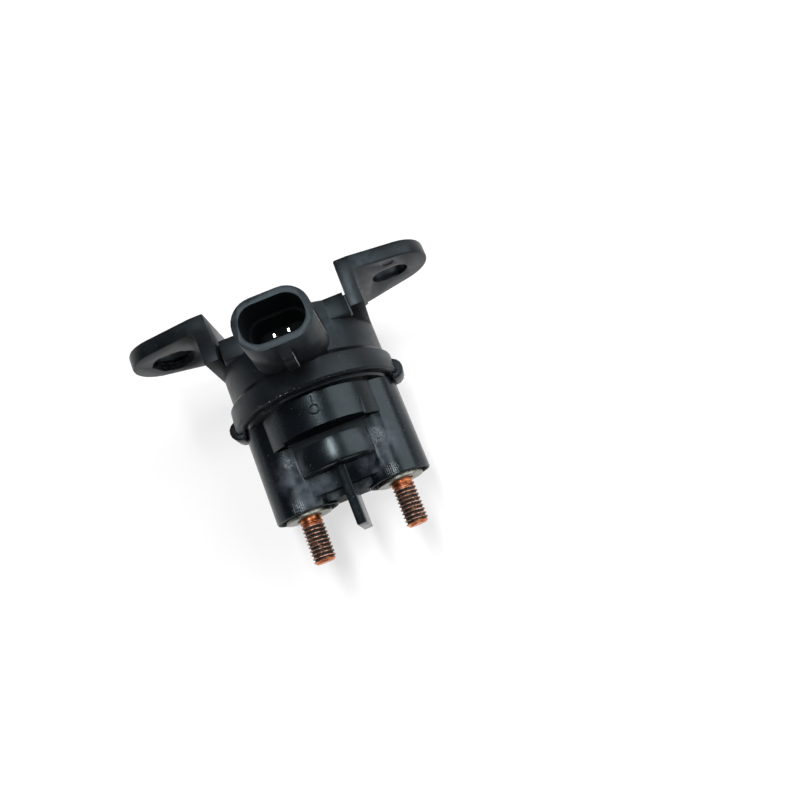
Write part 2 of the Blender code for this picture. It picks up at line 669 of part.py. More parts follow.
def build_housing():
    disc_top = PLATE_BACK_Y + SEAT_GAP
    housing = turned(
        "terminal_housing",
        [
            (0, disc_top),
            (DISC_RADIUS, disc_top),
            (DISC_RADIUS, EDGE_ROUND - DISC_LIP),
            (DISC_RADIUS - EDGE_ROUND, -DISC_LIP),
            (0, -DISC_LIP),
        ],
        LARGE_STEPS,
    )
    bump_radius = CHAMBER_RADIUS + CHAMBER_WALL
    bump_end = CHAMBER_FLOOR_Y - CHAMBER_BASE
    bump = turned(
        "chamber_bump",
        [(0, 0), (bump_radius, 0), (bump_radius, bump_end + EDGE_ROUND / 2)]
        + [(bump_radius - EDGE_ROUND / 2, bump_end), (0, bump_end)],
        LARGE_STEPS,
    )
    flats = box(
        "flats",
        (-STUD_X, -FLAT_REACH, -FLAT_HALF_DEPTH),
        (STUD_X, 0, FLAT_HALF_DEPTH),
    )
    web = box(
        "web",
        (-STUD_X, -WEB_REACH, -WEB_HALF_DEPTH),
        (STUD_X, -FLAT_REACH + CUT_MARGIN, WEB_HALF_DEPTH),
    )
    combine(housing, "UNION", bump, flats, web)
    for side, name in ((-1, "left"), (1, "right")):
        collar = turned(
            f"{name}_collar",
            [
                (0, -SEAT_GAP),
                (COLLAR_RADIUS, -SEAT_GAP),
                (COLLAR_RADIUS, EDGE_ROUND / 2 - COLLAR_REACH),
                (COLLAR_RADIUS - EDGE_ROUND / 2, -COLLAR_REACH),
                (0, -COLLAR_REACH),
            ],
            x=side * STUD_X,
        )
        combine(housing, "UNION", collar)
    reach = math.sqrt(POCKET_BLOCK_RADIUS**2 - POCKET_BLOCK_HALF_WIDTH**2)
    swing = math.degrees(math.asin(POCKET_BLOCK_HALF_WIDTH / POCKET_BLOCK_RADIUS))
    block_outline = arc((0, 0), POCKET_BLOCK_RADIUS, 90 - swing, 90 + swing)
    block_outline += [(-POCKET_BLOCK_HALF_WIDTH, -reach)]
    block_outline += arc((0, 0), POCKET_BLOCK_RADIUS, 270 - swing, 270 + swing)[1:-1]
    block_outline += [(POCKET_BLOCK_HALF_WIDTH, -reach)]
    block = flat_shape(
        "pocket_block",
        block_outline,
        POCKET_BLOCK_REACH,
        FACING_Y,
        (0, -POCKET_BLOCK_REACH / 2, 0),
    )
    fin = box(
        "fin",
        (-FIN_HALF_WIDTH, -FIN_REACH, FIN_BOTTOM),
        (FIN_HALF_WIDTH, CUT_MARGIN - POCKET_BLOCK_REACH, FIN_TOP),
    )
    combine(housing, "UNION", round_edges(block, MOULD_ROUND), round_edges(fin, EDGE_ROUND / 2))
    chamber = rod(
        "contact_chamber",
        CHAMBER_RADIUS,
        CHAMBER_FLOOR_Y,
        HOUSING_FLOOR_TOP + CUT_MARGIN,
        LARGE_STEPS,
    )
    plate_seat = rod(
        "plate_seat", CAVITY_RADIUS, HOUSING_FLOOR_TOP, disc_top + CUT_MARGIN, LARGE_STEPS
    )
    pocket = rod("spring_pocket", POCKET_RADIUS, POCKET_FLOOR_Y, CHAMBER_FLOOR_Y + CUT_MARGIN)
    combine(housing, "DIFFERENCE", chamber, plate_seat, pocket)
    for side, name in ((-1, "left"), (1, "right")):
        seal_depth = 2 * STUD_SEAL_WIRE + SEAT_GAP
        seal_radius = STUD_RADIUS + 2 * STUD_SEAL_WIRE + 2 * SEAT_GAP
        head_radius = STUD_HEAD_RADIUS + SEAT_GAP
        hole_radius = STUD_RADIUS + SEAT_GAP
        stud_hole = turned(
            f"{name}_stud_hole",
            [
                (0, HOUSING_FLOOR_TOP + CUT_MARGIN),
                (head_radius, HOUSING_FLOOR_TOP + CUT_MARGIN),
                (head_radius, CHAMBER_FLOOR_Y),
                (seal_radius, CHAMBER_FLOOR_Y),
                (seal_radius, CHAMBER_FLOOR_Y - seal_depth),
                (hole_radius, CHAMBER_FLOOR_Y - seal_depth),
                (hole_radius, WASHER_SEAT_Y),
                (WASHER_RADIUS + WASHER_GAP, WASHER_SEAT_Y),
                (WASHER_RADIUS + WASHER_GAP, -COLLAR_REACH - CUT_MARGIN),
                (0, -COLLAR_REACH - CUT_MARGIN),
            ],
            x=side * STUD_X,
        )
        combine(housing, "DIFFERENCE", stud_hole)
    return as_part(housing, black_plastic)


def build_seal_ring():
    low = PLATE_BACK_Y + 2 * SEAT_GAP
    middle_radius = SKIRT_RADIUS - SEAT_GAP - SEAL_WIRE_RADIUS
    section = arc((middle_radius, low + SEAL_WIRE_RADIUS), SEAL_WIRE_RADIUS, 90, -270, SEAL_STEPS)
    return as_part(turned("seal_ring", section[:-1]), rubber)


def build_stud(name, x):
    stud = turned(
        name,
        [
            (0, HEAD_FACE_Y),
            (STUD_HEAD_RADIUS - EDGE_ROUND, HEAD_FACE_Y),
            (STUD_HEAD_RADIUS, HEAD_FACE_Y - EDGE_ROUND),
            (STUD_HEAD_RADIUS, HEAD_BASE_Y),
            (STUD_RADIUS, HEAD_BASE_Y),
            (STUD_RADIUS, STUD_CHAMFER - STUD_REACH),
            (STUD_RADIUS - STUD_CHAMFER, -STUD_REACH),
            (0, -STUD_REACH),
        ],
        x=x,
    )
    return as_part(stud, copper)


def build_stud_seal(name, x):
    middle = (STUD_RADIUS + SEAT_GAP + STUD_SEAL_WIRE, CHAMBER_FLOOR_Y - STUD_SEAL_WIRE)
    section = arc(middle, STUD_SEAL_WIRE, 90, -270, SEAL_STEPS)
    return as_part(turned(name, section[:-1], x=x), rubber)


def build_washer(name, x):
    low = WASHER_FACE_Y
    high = low + WASHER_THICKNESS
    inner = STUD_RADIUS + SEAT_GAP
    return as_part(ring(name, WASHER_RADIUS, inner, low, high, x=x), plated_steel)


def build_pin(name, x):
    """A blade contact with a tapered tip: seen along Y it is a bar that narrows at its end."""
    half = PIN_WIDTH / 2
    outline = [
        (half, PIN_TAIL_Z),
        (half, PIN_TIP_Z - 2 * PIN_TAPER),
        (half - PIN_TAPER, PIN_TIP_Z),
        (PIN_TAPER - half, PIN_TIP_Z),
        (-half, PIN_TIP_Z - 2 * PIN_TAPER),
        (-half, PIN_TAIL_Z),
    ]
    pin = flat_shape(name, outline, PIN_THICKNESS, FACING_Y, (x, TOWER_Y, 0))
    return as_part(pin, tin_plate)


def build_yoke():
    hole = PLUNGER_RADIUS + 2 * SEAT_GAP
    yoke = turned(
        "yoke",
        [
            (hole, YOKE_BACK_Y),
            (STEEL_RADIUS - EDGE_ROUND, YOKE_BACK_Y),
            (STEEL_RADIUS, YOKE_BACK_Y - EDGE_ROUND),
            (STEEL_RADIUS, YOKE_Y),
            (YOKE_INNER_RADIUS, YOKE_Y),
            (YOKE_INNER_RADIUS, YOKE_INNER_BACK_Y),
            (hole, YOKE_INNER_BACK_Y),
        ],
    )
    window = box(
        "lead_window",
        (-LEAD_WINDOW / 2, YOKE_Y - CUT_MARGIN, CORE_RADIUS + BODY_WALL),
        (LEAD_WINDOW / 2, TOWER_Y + LEAD_WINDOW_MARGIN, BODY_RADIUS),
    )
    combine(yoke, "DIFFERENCE", window)
    return as_part(yoke, steel)


def build_pole_plate():
    hole = CORE_RADIUS + CORE_SHOULDER + SEAT_GAP
    plate = ring("pole_plate", STEEL_RADIUS, hole, PLATE_Y, PLATE_BACK_Y)
    return as_part(plate, steel)


def build_core():
    core = turned(
        "fixed_core",
        [
            (CORE_RADIUS, CORE_TOP_Y),
            (CORE_RADIUS, PLATE_BACK_Y),
            (CORE_RADIUS + CORE_SHOULDER, PLATE_BACK_Y),
            (CORE_RADIUS + CORE_SHOULDER, PLATE_Y),
            (COUNTERBORE_RADIUS, PLATE_Y),
            (COUNTERBORE_RADIUS, COUNTERBORE_END_Y),
            (ROD_BORE, COUNTERBORE_END_Y),
            (ROD_BORE, CORE_TOP_Y),
        ],
    )
    return as_part(core, steel)


def build_sleeve():
    inner = CORE_RADIUS + SEAT_GAP
    sleeve = ring("guide_sleeve", SLEEVE_RADIUS, inner, YOKE_Y, BOBBIN_END_Y)
    return as_part(sleeve, brass)


def build_bobbin():
    tube = BOBBIN_BORE + BOBBIN_WALL
    rim = YOKE_INNER_RADIUS - SEAT_GAP
    bobbin = turned(
        "bobbin",
        [
            (rim, BOBBIN_END_Y),
            (rim, BOBBIN_END_Y - BOBBIN_FLANGE),
            (tube, BOBBIN_END_Y - BOBBIN_FLANGE),
            (tube, YOKE_Y + BOBBIN_FLANGE),
            (rim, YOKE_Y + BOBBIN_FLANGE),
            (rim, YOKE_Y),
            (BOBBIN_BORE, YOKE_Y),
            (BOBBIN_BORE, BOBBIN_END_Y),
        ],
    )
    return as_part(bobbin, white_plastic)


def build_winding():
    low = YOKE_Y + BOBBIN_FLANGE + SEAT_GAP
    high = BOBBIN_END_Y - BOBBIN_FLANGE - SEAT_GAP
    inner = BOBBIN_BORE + BOBBIN_WALL + SEAT_GAP
    winding = ring("winding", WINDING_RADIUS, inner, low, high)
    return as_part(winding, enamelled_wire)


def build_lead(name, x):
    """A coil end: it lies on the winding, bends up and ends under its pin."""
    low = math.sqrt(WINDING_RADIUS**2 - x**2) + SEAT_GAP + LEAD_WIRE_RADIUS
    high = PIN_TAIL_Z - SEAT_GAP
    start = YOKE_Y + BOBBIN_FLANGE + LEAD_INSET
    bend = TOWER_Y - LEAD_WIRE_RADIUS * 2
    points = [
        (x, start, low),
        (x, bend, low),
        (x, TOWER_Y, low + LEAD_WIRE_RADIUS),
        (x, TOWER_Y, high),
    ]
    return as_part(wire(name, points, LEAD_WIRE_RADIUS), enamelled_wire)


def build_plunger():
    low = CORE_TOP_Y + STROKE + CLOSING_GAP
    plunger = turned(
        "plunger",
        [
            (PLUNGER_RADIUS - EDGE_ROUND, YOKE_BACK_Y),
            (PLUNGER_RADIUS, YOKE_BACK_Y - EDGE_ROUND),
            (PLUNGER_RADIUS, low + EDGE_ROUND),
            (PLUNGER_RADIUS - EDGE_ROUND, low),
            (ROD_BORE, low),
            (ROD_BORE, YOKE_BACK_Y),
        ],
    )
    return as_part(plunger, steel)


def build_push_rod():
    groove_low = CLIP_Y - CLIP_THICKNESS - SLIDE_GAP / 2
    groove_high = CLIP_Y + SLIDE_GAP / 2
    groove = ROD_RADIUS - CLIP_GROOVE
    shoulder_top = ROD_SHOULDER_Y + ROD_SHOULDER_HEIGHT
    push_rod = turned(
        "push_rod",
        [
            (0, YOKE_BACK_Y),
            (ROD_RADIUS, YOKE_BACK_Y),
            (ROD_RADIUS, shoulder_top),
            (ROD_SHOULDER_RADIUS, shoulder_top),
            (ROD_SHOULDER_RADIUS, ROD_SHOULDER_Y),
            (ROD_RADIUS, ROD_SHOULDER_Y),
            (ROD_RADIUS, groove_high),
            (groove, groove_high),
            (groove, groove_low),
            (ROD_RADIUS, groove_low),
            (ROD_RADIUS, ROD_END_Y),
            (0, ROD_END_Y),
        ],
    )
    return as_part(push_rod, plated_steel)


def build_clip():
    """A spring clip in the rod's groove, with its mouth open to one side."""
    inner = ROD_RADIUS - CLIP_GROOVE + SLIDE_GAP / 2
    clip = ring("retaining_clip", CLIP_RADIUS, inner, CLIP_Y - CLIP_THICKNESS, CLIP_Y)
    mouth = box(
        "clip_mouth",
        (-inner, CLIP_Y - CLIP_THICKNESS - CUT_MARGIN, 0),
        (inner, CLIP_Y + CUT_MARGIN, CLIP_RADIUS + CUT_MARGIN),
    )
    combine(clip, "DIFFERENCE", mouth)
    return as_part(clip, plated_steel)


def build_spring_seat():
    low = SEAT_Y - SEAT_THICKNESS
    return as_part(ring("spring_seat", SEAT_RADIUS, ROD_BORE, low, SEAT_Y), plated_steel)


def build_contact():
    """The copper disc, the flanged bush that insulates it from the rod and the lower washer."""
    bore = BUSH_RADIUS + SLIDE_GAP
    disc = ring("contact_disc", CONTACT_RADIUS, bore, CONTACT_FACE_Y, CONTACT_BACK_Y)
    as_part(disc, copper)
    bush = turned(
        "insulating_bush",
        [
            (BUSH_FLANGE_RADIUS, BUSH_BACK_Y),
            (BUSH_FLANGE_RADIUS, BUSH_FLANGE_Y),
            (BUSH_RADIUS, BUSH_FLANGE_Y),
            (BUSH_RADIUS, BUSH_END_Y),
            (ROD_BORE, BUSH_END_Y),
            (ROD_BORE, BUSH_BACK_Y),
        ],
    )
    as_part(bush, white_plastic)
    low = INSULATOR_Y - INSULATOR_THICKNESS
    washer = ring("insulating_washer", BUSH_FLANGE_RADIUS, ROD_BORE, low, INSULATOR_Y)
    as_part(washer, white_plastic)


def build_springs():
    contact_spring = spring(
        "contact_spring",
        BUSH_BACK_Y + SEAT_GAP,
        ROD_SHOULDER_Y - SEAT_GAP,
        COUNTERBORE_RADIUS - SEAT_GAP,
        CONTACT_SPRING_WIRE,
        CONTACT_SPRING_TURNS,
    )
    as_part(contact_spring, spring_steel)
    return_spring = spring(
        "return_spring",
        POCKET_FLOOR_Y + SEAT_GAP,
        SEAT_Y - SEAT_THICKNESS - SEAT_GAP,
        SEAT_RADIUS - SEAT_GAP,
        RETURN_SPRING_WIRE,
        RETURN_SPRING_TURNS,
    )
    as_part(return_spring, spring_steel)


clear_scene()
parts = new_collection("starter_relay")
tools = new_collection("tools")
origin = bpy.data.objects.new("mounting_point", None)
origin.location = (0, -MOUNT_Y, -HOLE_RISE)
parts.objects.link(origin)

black_plastic = new_material("glass-filled nylon, black", (0.018, 0.019, 0.021), 0.5, 0)
white_plastic = new_material("nylon, natural", (0.75, 0.72, 0.62), 0.5, 0)
copper = new_material("copper", (0.72, 0.33, 0.18), 0.35, 1)
brass = new_material("brass", (0.75, 0.58, 0.28), 0.35, 1)
steel = new_material("soft iron", (0.42, 0.42, 0.43), 0.45, 1)
plated_steel = new_material("zinc plated steel", (0.62, 0.62, 0.60), 0.4, 1)
spring_steel = new_material("spring steel", (0.5, 0.5, 0.52), 0.3, 1)
tin_plate = new_material("tin plated brass", (0.7, 0.69, 0.66), 0.3, 1)
enamelled_wire = new_material("enamelled copper wire", (0.45, 0.16, 0.06), 0.3, 1)
rubber = new_material("nitrile rubber", (0.02, 0.02, 0.02), 0.7, 0)

build_cover()
build_housing()
build_seal_ring()
build_yoke()
build_pole_plate()
build_core()
build_sleeve()
build_bobbin()
build_winding()
build_plunger()
build_push_rod()
build_clip()
build_spring_seat()
build_contact()
build_springs()
for side, side_name in ((-1, "left"), (1, "right")):
    build_stud(f"{side_name}_stud", side * STUD_X)
    build_stud_seal(f"{side_name}_stud_seal", side * STUD_X)
    build_washer(f"{side_name}_washer", side * STUD_X)
    build_pin(f"{side_name}_pin", side * PIN_SPACING / 2)
    build_lead(f"{side_name}_coil_lead", side * PIN_SPACING / 2)
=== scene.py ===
# %% [markdown]
# A starter relay, dressed for its portrait.
# The construction is already made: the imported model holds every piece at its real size. This
# script adds what a drawing leaves out, which is the finish of each surface, the threads on
# the copper studs, and the wear that years next to an engine leave on black plastic.

# %% Load the relay
import json
import math

import bmesh
import bpy
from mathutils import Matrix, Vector


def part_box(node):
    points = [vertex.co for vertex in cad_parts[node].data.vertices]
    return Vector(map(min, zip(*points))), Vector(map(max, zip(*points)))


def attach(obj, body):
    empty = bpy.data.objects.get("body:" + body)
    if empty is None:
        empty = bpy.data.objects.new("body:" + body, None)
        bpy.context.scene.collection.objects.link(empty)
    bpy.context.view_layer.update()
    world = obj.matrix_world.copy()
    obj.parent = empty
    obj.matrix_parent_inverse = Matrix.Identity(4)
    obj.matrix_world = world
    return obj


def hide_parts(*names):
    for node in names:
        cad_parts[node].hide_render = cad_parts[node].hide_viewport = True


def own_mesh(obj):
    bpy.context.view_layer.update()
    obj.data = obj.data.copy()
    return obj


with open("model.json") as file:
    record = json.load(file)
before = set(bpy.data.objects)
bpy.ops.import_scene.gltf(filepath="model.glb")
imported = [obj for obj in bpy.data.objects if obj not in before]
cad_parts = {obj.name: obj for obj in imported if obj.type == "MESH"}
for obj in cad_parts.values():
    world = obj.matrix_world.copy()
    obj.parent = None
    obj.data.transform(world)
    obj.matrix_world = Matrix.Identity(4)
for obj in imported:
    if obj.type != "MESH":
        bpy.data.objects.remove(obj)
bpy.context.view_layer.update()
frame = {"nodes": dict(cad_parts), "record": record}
MM = 0.001
print("pieces loaded:", len(frame["nodes"]))

# %% [markdown]
# Most patterns and wear follow the pieces, so their places are worked out first. They could
# be typed in, but asking the pieces for their boxes keeps them right if a piece changes. The
# body's axis runs along Y, the winding is a ring round it, and each washer is a ring round
# its stud. Only a place on a face, such as the broken hole, has to be given in millimetres.

# %% Places on the relay


def middle(node):
    low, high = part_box(node)
    return (low + high) / 2


AXIS_Z = middle("winding").z
FLOOR_Z = min(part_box("cover")[0].z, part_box("terminal_housing")[0].z)
WASHER_FACE_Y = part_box("left_washer")[0].y
STUD_TIP_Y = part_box("left_stud")[0].y
FLANGE_FRONT_Y = -27.3 * MM
FLANGE_RADIUS = 22.2 * MM
LEFT_HOLE = Vector((-29.7, -4.0, -1.0)) * MM
print("axis height in mm:", round(AXIS_Z / MM, 2), "floor in mm:", round(FLOOR_Z / MM, 2))
print("studs stand out in mm:", round((WASHER_FACE_Y - STUD_TIP_Y) / MM, 2))

# %% [markdown]
# The camera. The photograph was taken from above, nearly straight down, with the studs
# towards the viewer. A camera could be placed by eye, but its place and turn were worked out
# from the outlines in the picture, so the edges of the model lie on them. The picture is
# square, so the lens is written for a 36 mm wide square frame.

# %% Camera


def in_scene(name, data):
    """A new object in the scene, made from a mesh, a camera or a lamp."""
    obj = bpy.data.objects.new(name, data)
    bpy.context.scene.collection.objects.link(obj)
    return obj


camera_data = bpy.data.cameras.new("camera")
camera_data.lens = 36.03
camera_data.sensor_width = 36
camera_data.clip_start = 0.01
camera = in_scene("camera", camera_data)
camera.location = Vector((14.9, -82.9, 191.8)) * MM
camera.rotation_euler = [math.radians(angle) for angle in (13.258, 3.866, -21.804)]
bpy.context.scene.camera = camera
print("camera in place, lens", camera_data.lens)

# %% [markdown]
# Colours are written as sRGB hex values, the way a colour picker shows them. Blender's
# shaders want linear light. Typing linear numbers would work too, but nobody can read a
# colour from them, so one function turns the one into the other.

# %% Colours


def colour(code):
    values = [int(code[i : i + 2], 16) / 255 for i in (0, 2, 4)]
    linear = [v / 12.92 if v <= 0.04045 else ((v + 0.055) / 1.055) ** 2.4 for v in values]
    return (*linear, 1.0)


print("mid grey is", [round(v, 3) for v in colour("808080")])

# %% [markdown]
# Node trees make both the finishes and the repeated shapes. They could be clicked together
# by hand, but a script has to build them, so one small function adds any node. It takes the
# node's inputs, each a number, a colour or whatever feeds it, and its settings. Inputs go by
# name, or in order where a node's inputs share one name.

# %% One function for every node


def add(tree, kind, inputs=(), stops=(), **settings):
    """Adds a node. An input is a value, a socket, or a node whose first output feeds it."""
    node = tree.nodes.new(kind)
    for name, value in settings.items():
        setattr(node, name, value)
    for key, value in inputs.items() if isinstance(inputs, dict) else enumerate(inputs):
        if isinstance(value, bpy.types.Node):
            value = next(output for output in value.outputs if output.enabled)
        target = node.inputs[key]
        if isinstance(key, str):
            target = next(s for s in node.inputs if s.enabled and s.name == key)
        if isinstance(value, bpy.types.NodeSocket):
            tree.links.new(value, target)
        else:
            target.default_value = value
    if stops:
        elements = node.color_ramp.elements
        while len(elements) < len(stops):
            elements.new(1.0)
        for element, (place, code) in zip(elements, stops):
            element.position = place
            element.color = colour(code)
    return node


MATH, VECTOR, RANGE = "ShaderNodeMath", "ShaderNodeVectorMath", "ShaderNodeMapRange"
MIX, RAMP = "ShaderNodeMix", "ShaderNodeValToRGB"
NOISE, BUMP = "ShaderNodeTexNoise", "ShaderNodeBump"
print("add() is ready")

# %% [markdown]
# Each finish starts as a Principled shader, which can be black plastic, copper or rubber by
# its numbers alone. A number that is the same all over the piece is set on the shader here.
# All patterns read Object coordinates: the pieces keep their place in their mesh, so one
# pattern runs on from piece to piece and stays put when a piece moves.

# %% A new material


def material(name, **shader_values):
    """A new material. Underscores in the name of a shader's value stand for spaces."""
    made = bpy.data.materials.new(name)
    made.use_nodes = True
    shader = made.node_tree.nodes["Principled BSDF"]
    for key, value in shader_values.items():
        shader.inputs[key.replace("_", " ")].default_value = value
    return made, made.node_tree, shader


def paint(tree, shader, **sockets):
    """Feeds the shader's inputs from nodes."""
    for key, source in sockets.items():
        tree.links.new(source.outputs[0], shader.inputs[key.replace("_", " ")])


print("materials can be made")

# %% [markdown]
# Wear isn't even. A hand, a plug or a spanner reaches some places and not others, so every
# kind of wear is a mask, and so are the painted shade and sheen. They could be painted on the
# mesh, but a soft ball round each spot is enough here, because none has a sharp edge: a mask
# is 1 round the spot's centre and fades to 0 at its radius.

# %% Masks round spots of wear and painted light
# A spot can be wear, painted shade or a painted sheen; each fades the same way.
FULL_CORE = 0.3  # The share of a spot's radius where its wear is full.


def soft_spots_at(tree, place, spots):
    """The sum of the soft balls round several spots, each a centre and a radius in mm."""
    total = 0.0
    for centre, radius in spots:
        distance = add(tree, VECTOR, (place, [c * MM for c in centre]), operation="DISTANCE")
        fades = {"Value": distance, "To Min": 1.0, "To Max": 0.0}
        fades |= {"From Min": FULL_CORE * radius * MM, "From Max": radius * MM}
        ball = add(tree, RANGE, fades, interpolation_type="SMOOTHSTEP")
        total = add(tree, MATH, (total, ball), operation="ADD", use_clamp=True)
    return total


print("masks can be made")

# %% [markdown]
# Black glass-filled nylon, moulded. The steel mould was spark-eroded, which leaves a fine
# matt grain, and oil and dust leave it mottled where it was handled. Such a black could be
# one dark colour, but then the piece looks like a hole in the picture. So its colour drifts
# between two near blacks, dust specks it everywhere, and four layers lie over it: rubbed
# spots that also carry a painted sheen, scrapes from a tool in fine parallel lines, pale
# speckles that are partly a painted highlight, and a painted shade, darkest of all, in
# corners, recesses and on faces turned from the lamps. This cell makes only the patterns
# that the layers are cut from.

# %% Patterns in black nylon
WAVE_PERIOD = math.pi / 10  # A Wave Texture of scale 1 repeats after this length.
GRAIN = 0.4 * MM  # The real grain is about 0.05 mm, too fine to show, so it is drawn coarser.
SMEAR = 2.6 * MM  # A finger's smear breaks up at a few millimetres.
HAZE = 9.0 * MM  # Oil and dust drift over about a centimetre.
SCRAPE = 0.5 * MM  # The distance between two teeth marks of a tool.
SPECK = 0.55 * MM  # Dust is finer than 0.1 mm, and is drawn coarser so that it shows.


def nylon_patterns(tree, place):
    """The haze, smears, grain, dust and scrapes on handled nylon."""
    haze = add(tree, NOISE, {"Vector": place, "Scale": 1 / HAZE, "Detail": 6.0})
    smears = add(tree, NOISE, {"Vector": place, "Scale": 1 / SMEAR, "Detail": 5.0})
    grain = add(tree, NOISE, {"Vector": place, "Scale": 1 / GRAIN, "Detail": 3.0})
    dust = add(tree, NOISE, {"Vector": place, "Scale": 1 / SPECK, "Detail": 2.0})
    ridges = {"Vector": place, "Scale": WAVE_PERIOD / SCRAPE, "Distortion": 0.8, "Detail": 1.0}
    ridges = add(tree, "ShaderNodeTexWave", ridges).outputs["Fac"]
    skips = add(tree, RANGE, {"Value": grain, "From Min": 0.36, "From Max": 0.56})
    ridges = add(tree, MATH, (ridges, skips), operation="MULTIPLY")
    return haze, smears, grain, dust, ridges


print("nylon has its patterns")

# %% [markdown]
# The nylon itself. Each kind of wear, and the painted shade and sheen, shows where its mask
# and its pattern meet. A stack of mixed shaders could do that, but the surface is one
# plastic, so only its colour, gloss and relief are mixed. Whole faces can be given the
# painted shade too, by an attribute named shade.

# %% Black moulded nylon
# Painted shade: this near black stands in for the shade in corners and recesses.
PAINTED_SHADE_BLACK = "020304"  # The colour of a corner that hardly any light reaches.


def moulded_nylon(name, tones, roughness, level, wear_and_light):
    """Tones go from darkest to palest. Level is how strongly the surface mirrors."""
    made, tree, shader = material(
        name, IOR=1.5, Specular_IOR_Level=level, Specular_Tint=colour("DDF1FA")
    )
    place = add(tree, "ShaderNodeTexCoord").outputs["Object"]
    haze, smears, grain, dust, ridges = nylon_patterns(tree, place)
    masks = {kind: soft_spots_at(tree, place, spots) for kind, spots in wear_and_light.items()}
    # Painted shade on whole faces: those marked by the shade attribute go near black too.
    shade = add(tree, "ShaderNodeAttribute", attribute_name="shade").outputs["Fac"]
    shade = add(tree, MATH, (masks["painted_shade"], shade), operation="MAXIMUM")
    masks["painted_shade"] = shade
    # The layer, its pattern, where that begins and is full, how much it covers, and its tone.
    layers = (
        # Rubbed spots, which also carry a painted sheen.
        ("rubbed_and_sheen", smears, 0.35, 0.62, 1.0, tones[2]),
        ("everywhere", dust, 0.71, 0.76, 0.35, tones[3]),
        ("scraped", ridges, 0.3, 0.8, 0.8, tones[3]),
        # Pale speckles, which are partly a painted highlight.
        ("speckled_and_sheen", grain, 0.4, 0.7, 0.6, tones[3]),
        # Painted shade: near black in corners, recesses and on faces turned from the lamps.
        ("painted_shade", 1.0, 0.0, 1.0, 1.0, PAINTED_SHADE_BLACK),
    )
    base = add(tree, RAMP, (haze,), stops=((0.38, tones[0]), (0.66, tones[1])))
    for kind, pattern, low, high, share, tone in layers:
        shown = {"Value": pattern, "From Min": low, "From Max": high, "To Max": share}
        shown = add(tree, RANGE, shown)
        shown = add(tree, MATH, (shown, masks.get(kind, 1.0)), operation="MULTIPLY")
        mixing = {"Factor": shown, "A": base, "B": colour(tone)}
        base = add(tree, MIX, mixing, data_type="RGBA")
    gloss = {"Value": smears, "From Min": 0.3, "From Max": 0.7}
    gloss = add(tree, RANGE, gloss | {"To Min": roughness - 0.04, "To Max": roughness + 0.06})
    # Wear takes the gloss off, and the painted shade is the roughest of all.
    for kind, more in (("rubbed_and_sheen", 0.1), ("speckled_and_sheen", 0.15), ("painted_shade", 0.4)):
        gloss = add(tree, MATH, (masks[kind], more, gloss), operation="MULTIPLY_ADD")
    # The relief of the mould's grain, and of the smears on it, is a few hundredths of a mm.
    fine = add(tree, BUMP, {"Strength": 0.5, "Distance": 0.03 * MM, "Height": grain})
    coarse = {"Strength": 0.3, "Distance": 0.07 * MM, "Height": smears, "Normal": fine}
    coarse = add(tree, BUMP, coarse)
    tree.links.new(base.outputs[2], shader.inputs["Base Color"])
    paint(tree, shader, Roughness=gloss, Normal=coarse)
    return made


print("nylon can be mixed")

# %% [markdown]
# Both mouldings are the same nylon from two moulds. One material could serve both, but the
# cover's mould was the duller one, and each piece has its own wear, painted shade and sheen.
# So the recipe is used twice with different numbers. The places are read from the photograph
# and given in mm.

# %% The two nylons, their wear and painted light
COVER_WEAR_AND_PAINTED_LIGHT = {
    # Rubbed spots, also a painted sheen, on the right ear, the tower's rim and the body.
    "rubbed_and_sheen": (((24, -2, 8), 6), ((0, -14, 30), 13), ((12, -14, 10), 6)),
    "scraped": (),
    "speckled_and_sheen": (),
    # Painted shade in front of the tower's foot, and on the left ear and the side beside it.
    "painted_shade": (
        ((-6, -22, 15), 8),
        ((4, -22, 17), 5),
        ((0, -24, 13), 6),
        ((-20, -7, 9), 8),
        ((-27, -3, -4), 7),
    ),
}
HOUSING_WEAR_AND_PAINTED_LIGHT = {
    # Rubbed flats beside the block and the fin, also a painted sheen on them.
    "rubbed_and_sheen": (
        ((-11.5, -43, -1.5), 6.5),
        ((-11, -49, -3), 5),
        ((12, -43, -1.5), 6.5),
        ((7.5, -47.5, -2.3), 5),
        ((-6, -48, -2.3), 4.5),
    ),
    "scraped": (((-13, -51, -1.6), 2.3), ((11.6, -51, -1.6), 2.3)),
    # Pale speckles on the two flats, partly a painted highlight.
    "speckled_and_sheen": (((10.9, -41.6, -1.5), 3.0), ((-11.5, -40, -1.4), 2.0)),
    # Painted shade under the flange at the left, and in the valley behind the pocket block.
    "painted_shade": (((-15, -28, 3), 5), *(((x, -37.3, -0.6), 4.2) for x in (-8, -4, 0, 4, 8))),
}
# To the eye: blue-black, dark in the shade, dull grey where it mirrors a lamp.
cover_nylon = moulded_nylon(
    "glass-filled nylon, moulded, scuffed",
    tones=("06080B", "0F1317", "2A3136", "6A7075"),
    roughness=0.38,
    level=0.27,
    wear_and_light=COVER_WEAR_AND_PAINTED_LIGHT,
)
# To the eye: the same black but smoother, so its highlights are narrower and brighter.
housing_nylon = moulded_nylon(
    "glass-filled nylon, moulded",
    tones=("04070B", "0B1015", "3A3E46", "8A9095"),
    roughness=0.25,
    level=0.37,
    wear_and_light=HOUSING_WEAR_AND_PAINTED_LIGHT,
)
print("nylon:", cover_nylon.name, "and", housing_nylon.name)

# %% [markdown]
# The metals, rubber and pale nylon. Each could be one flat colour, but no real face is. So a
# cloudy noise shifts the colour between two tones, and shifts the gloss and a very low
# relief with them. The size of the clouds comes from the surface: a turned face has tool
# marks of about 0.1 mm, far too fine to show, so they are drawn as clouds of about 1 mm.

# %% Recipe for the other finishes


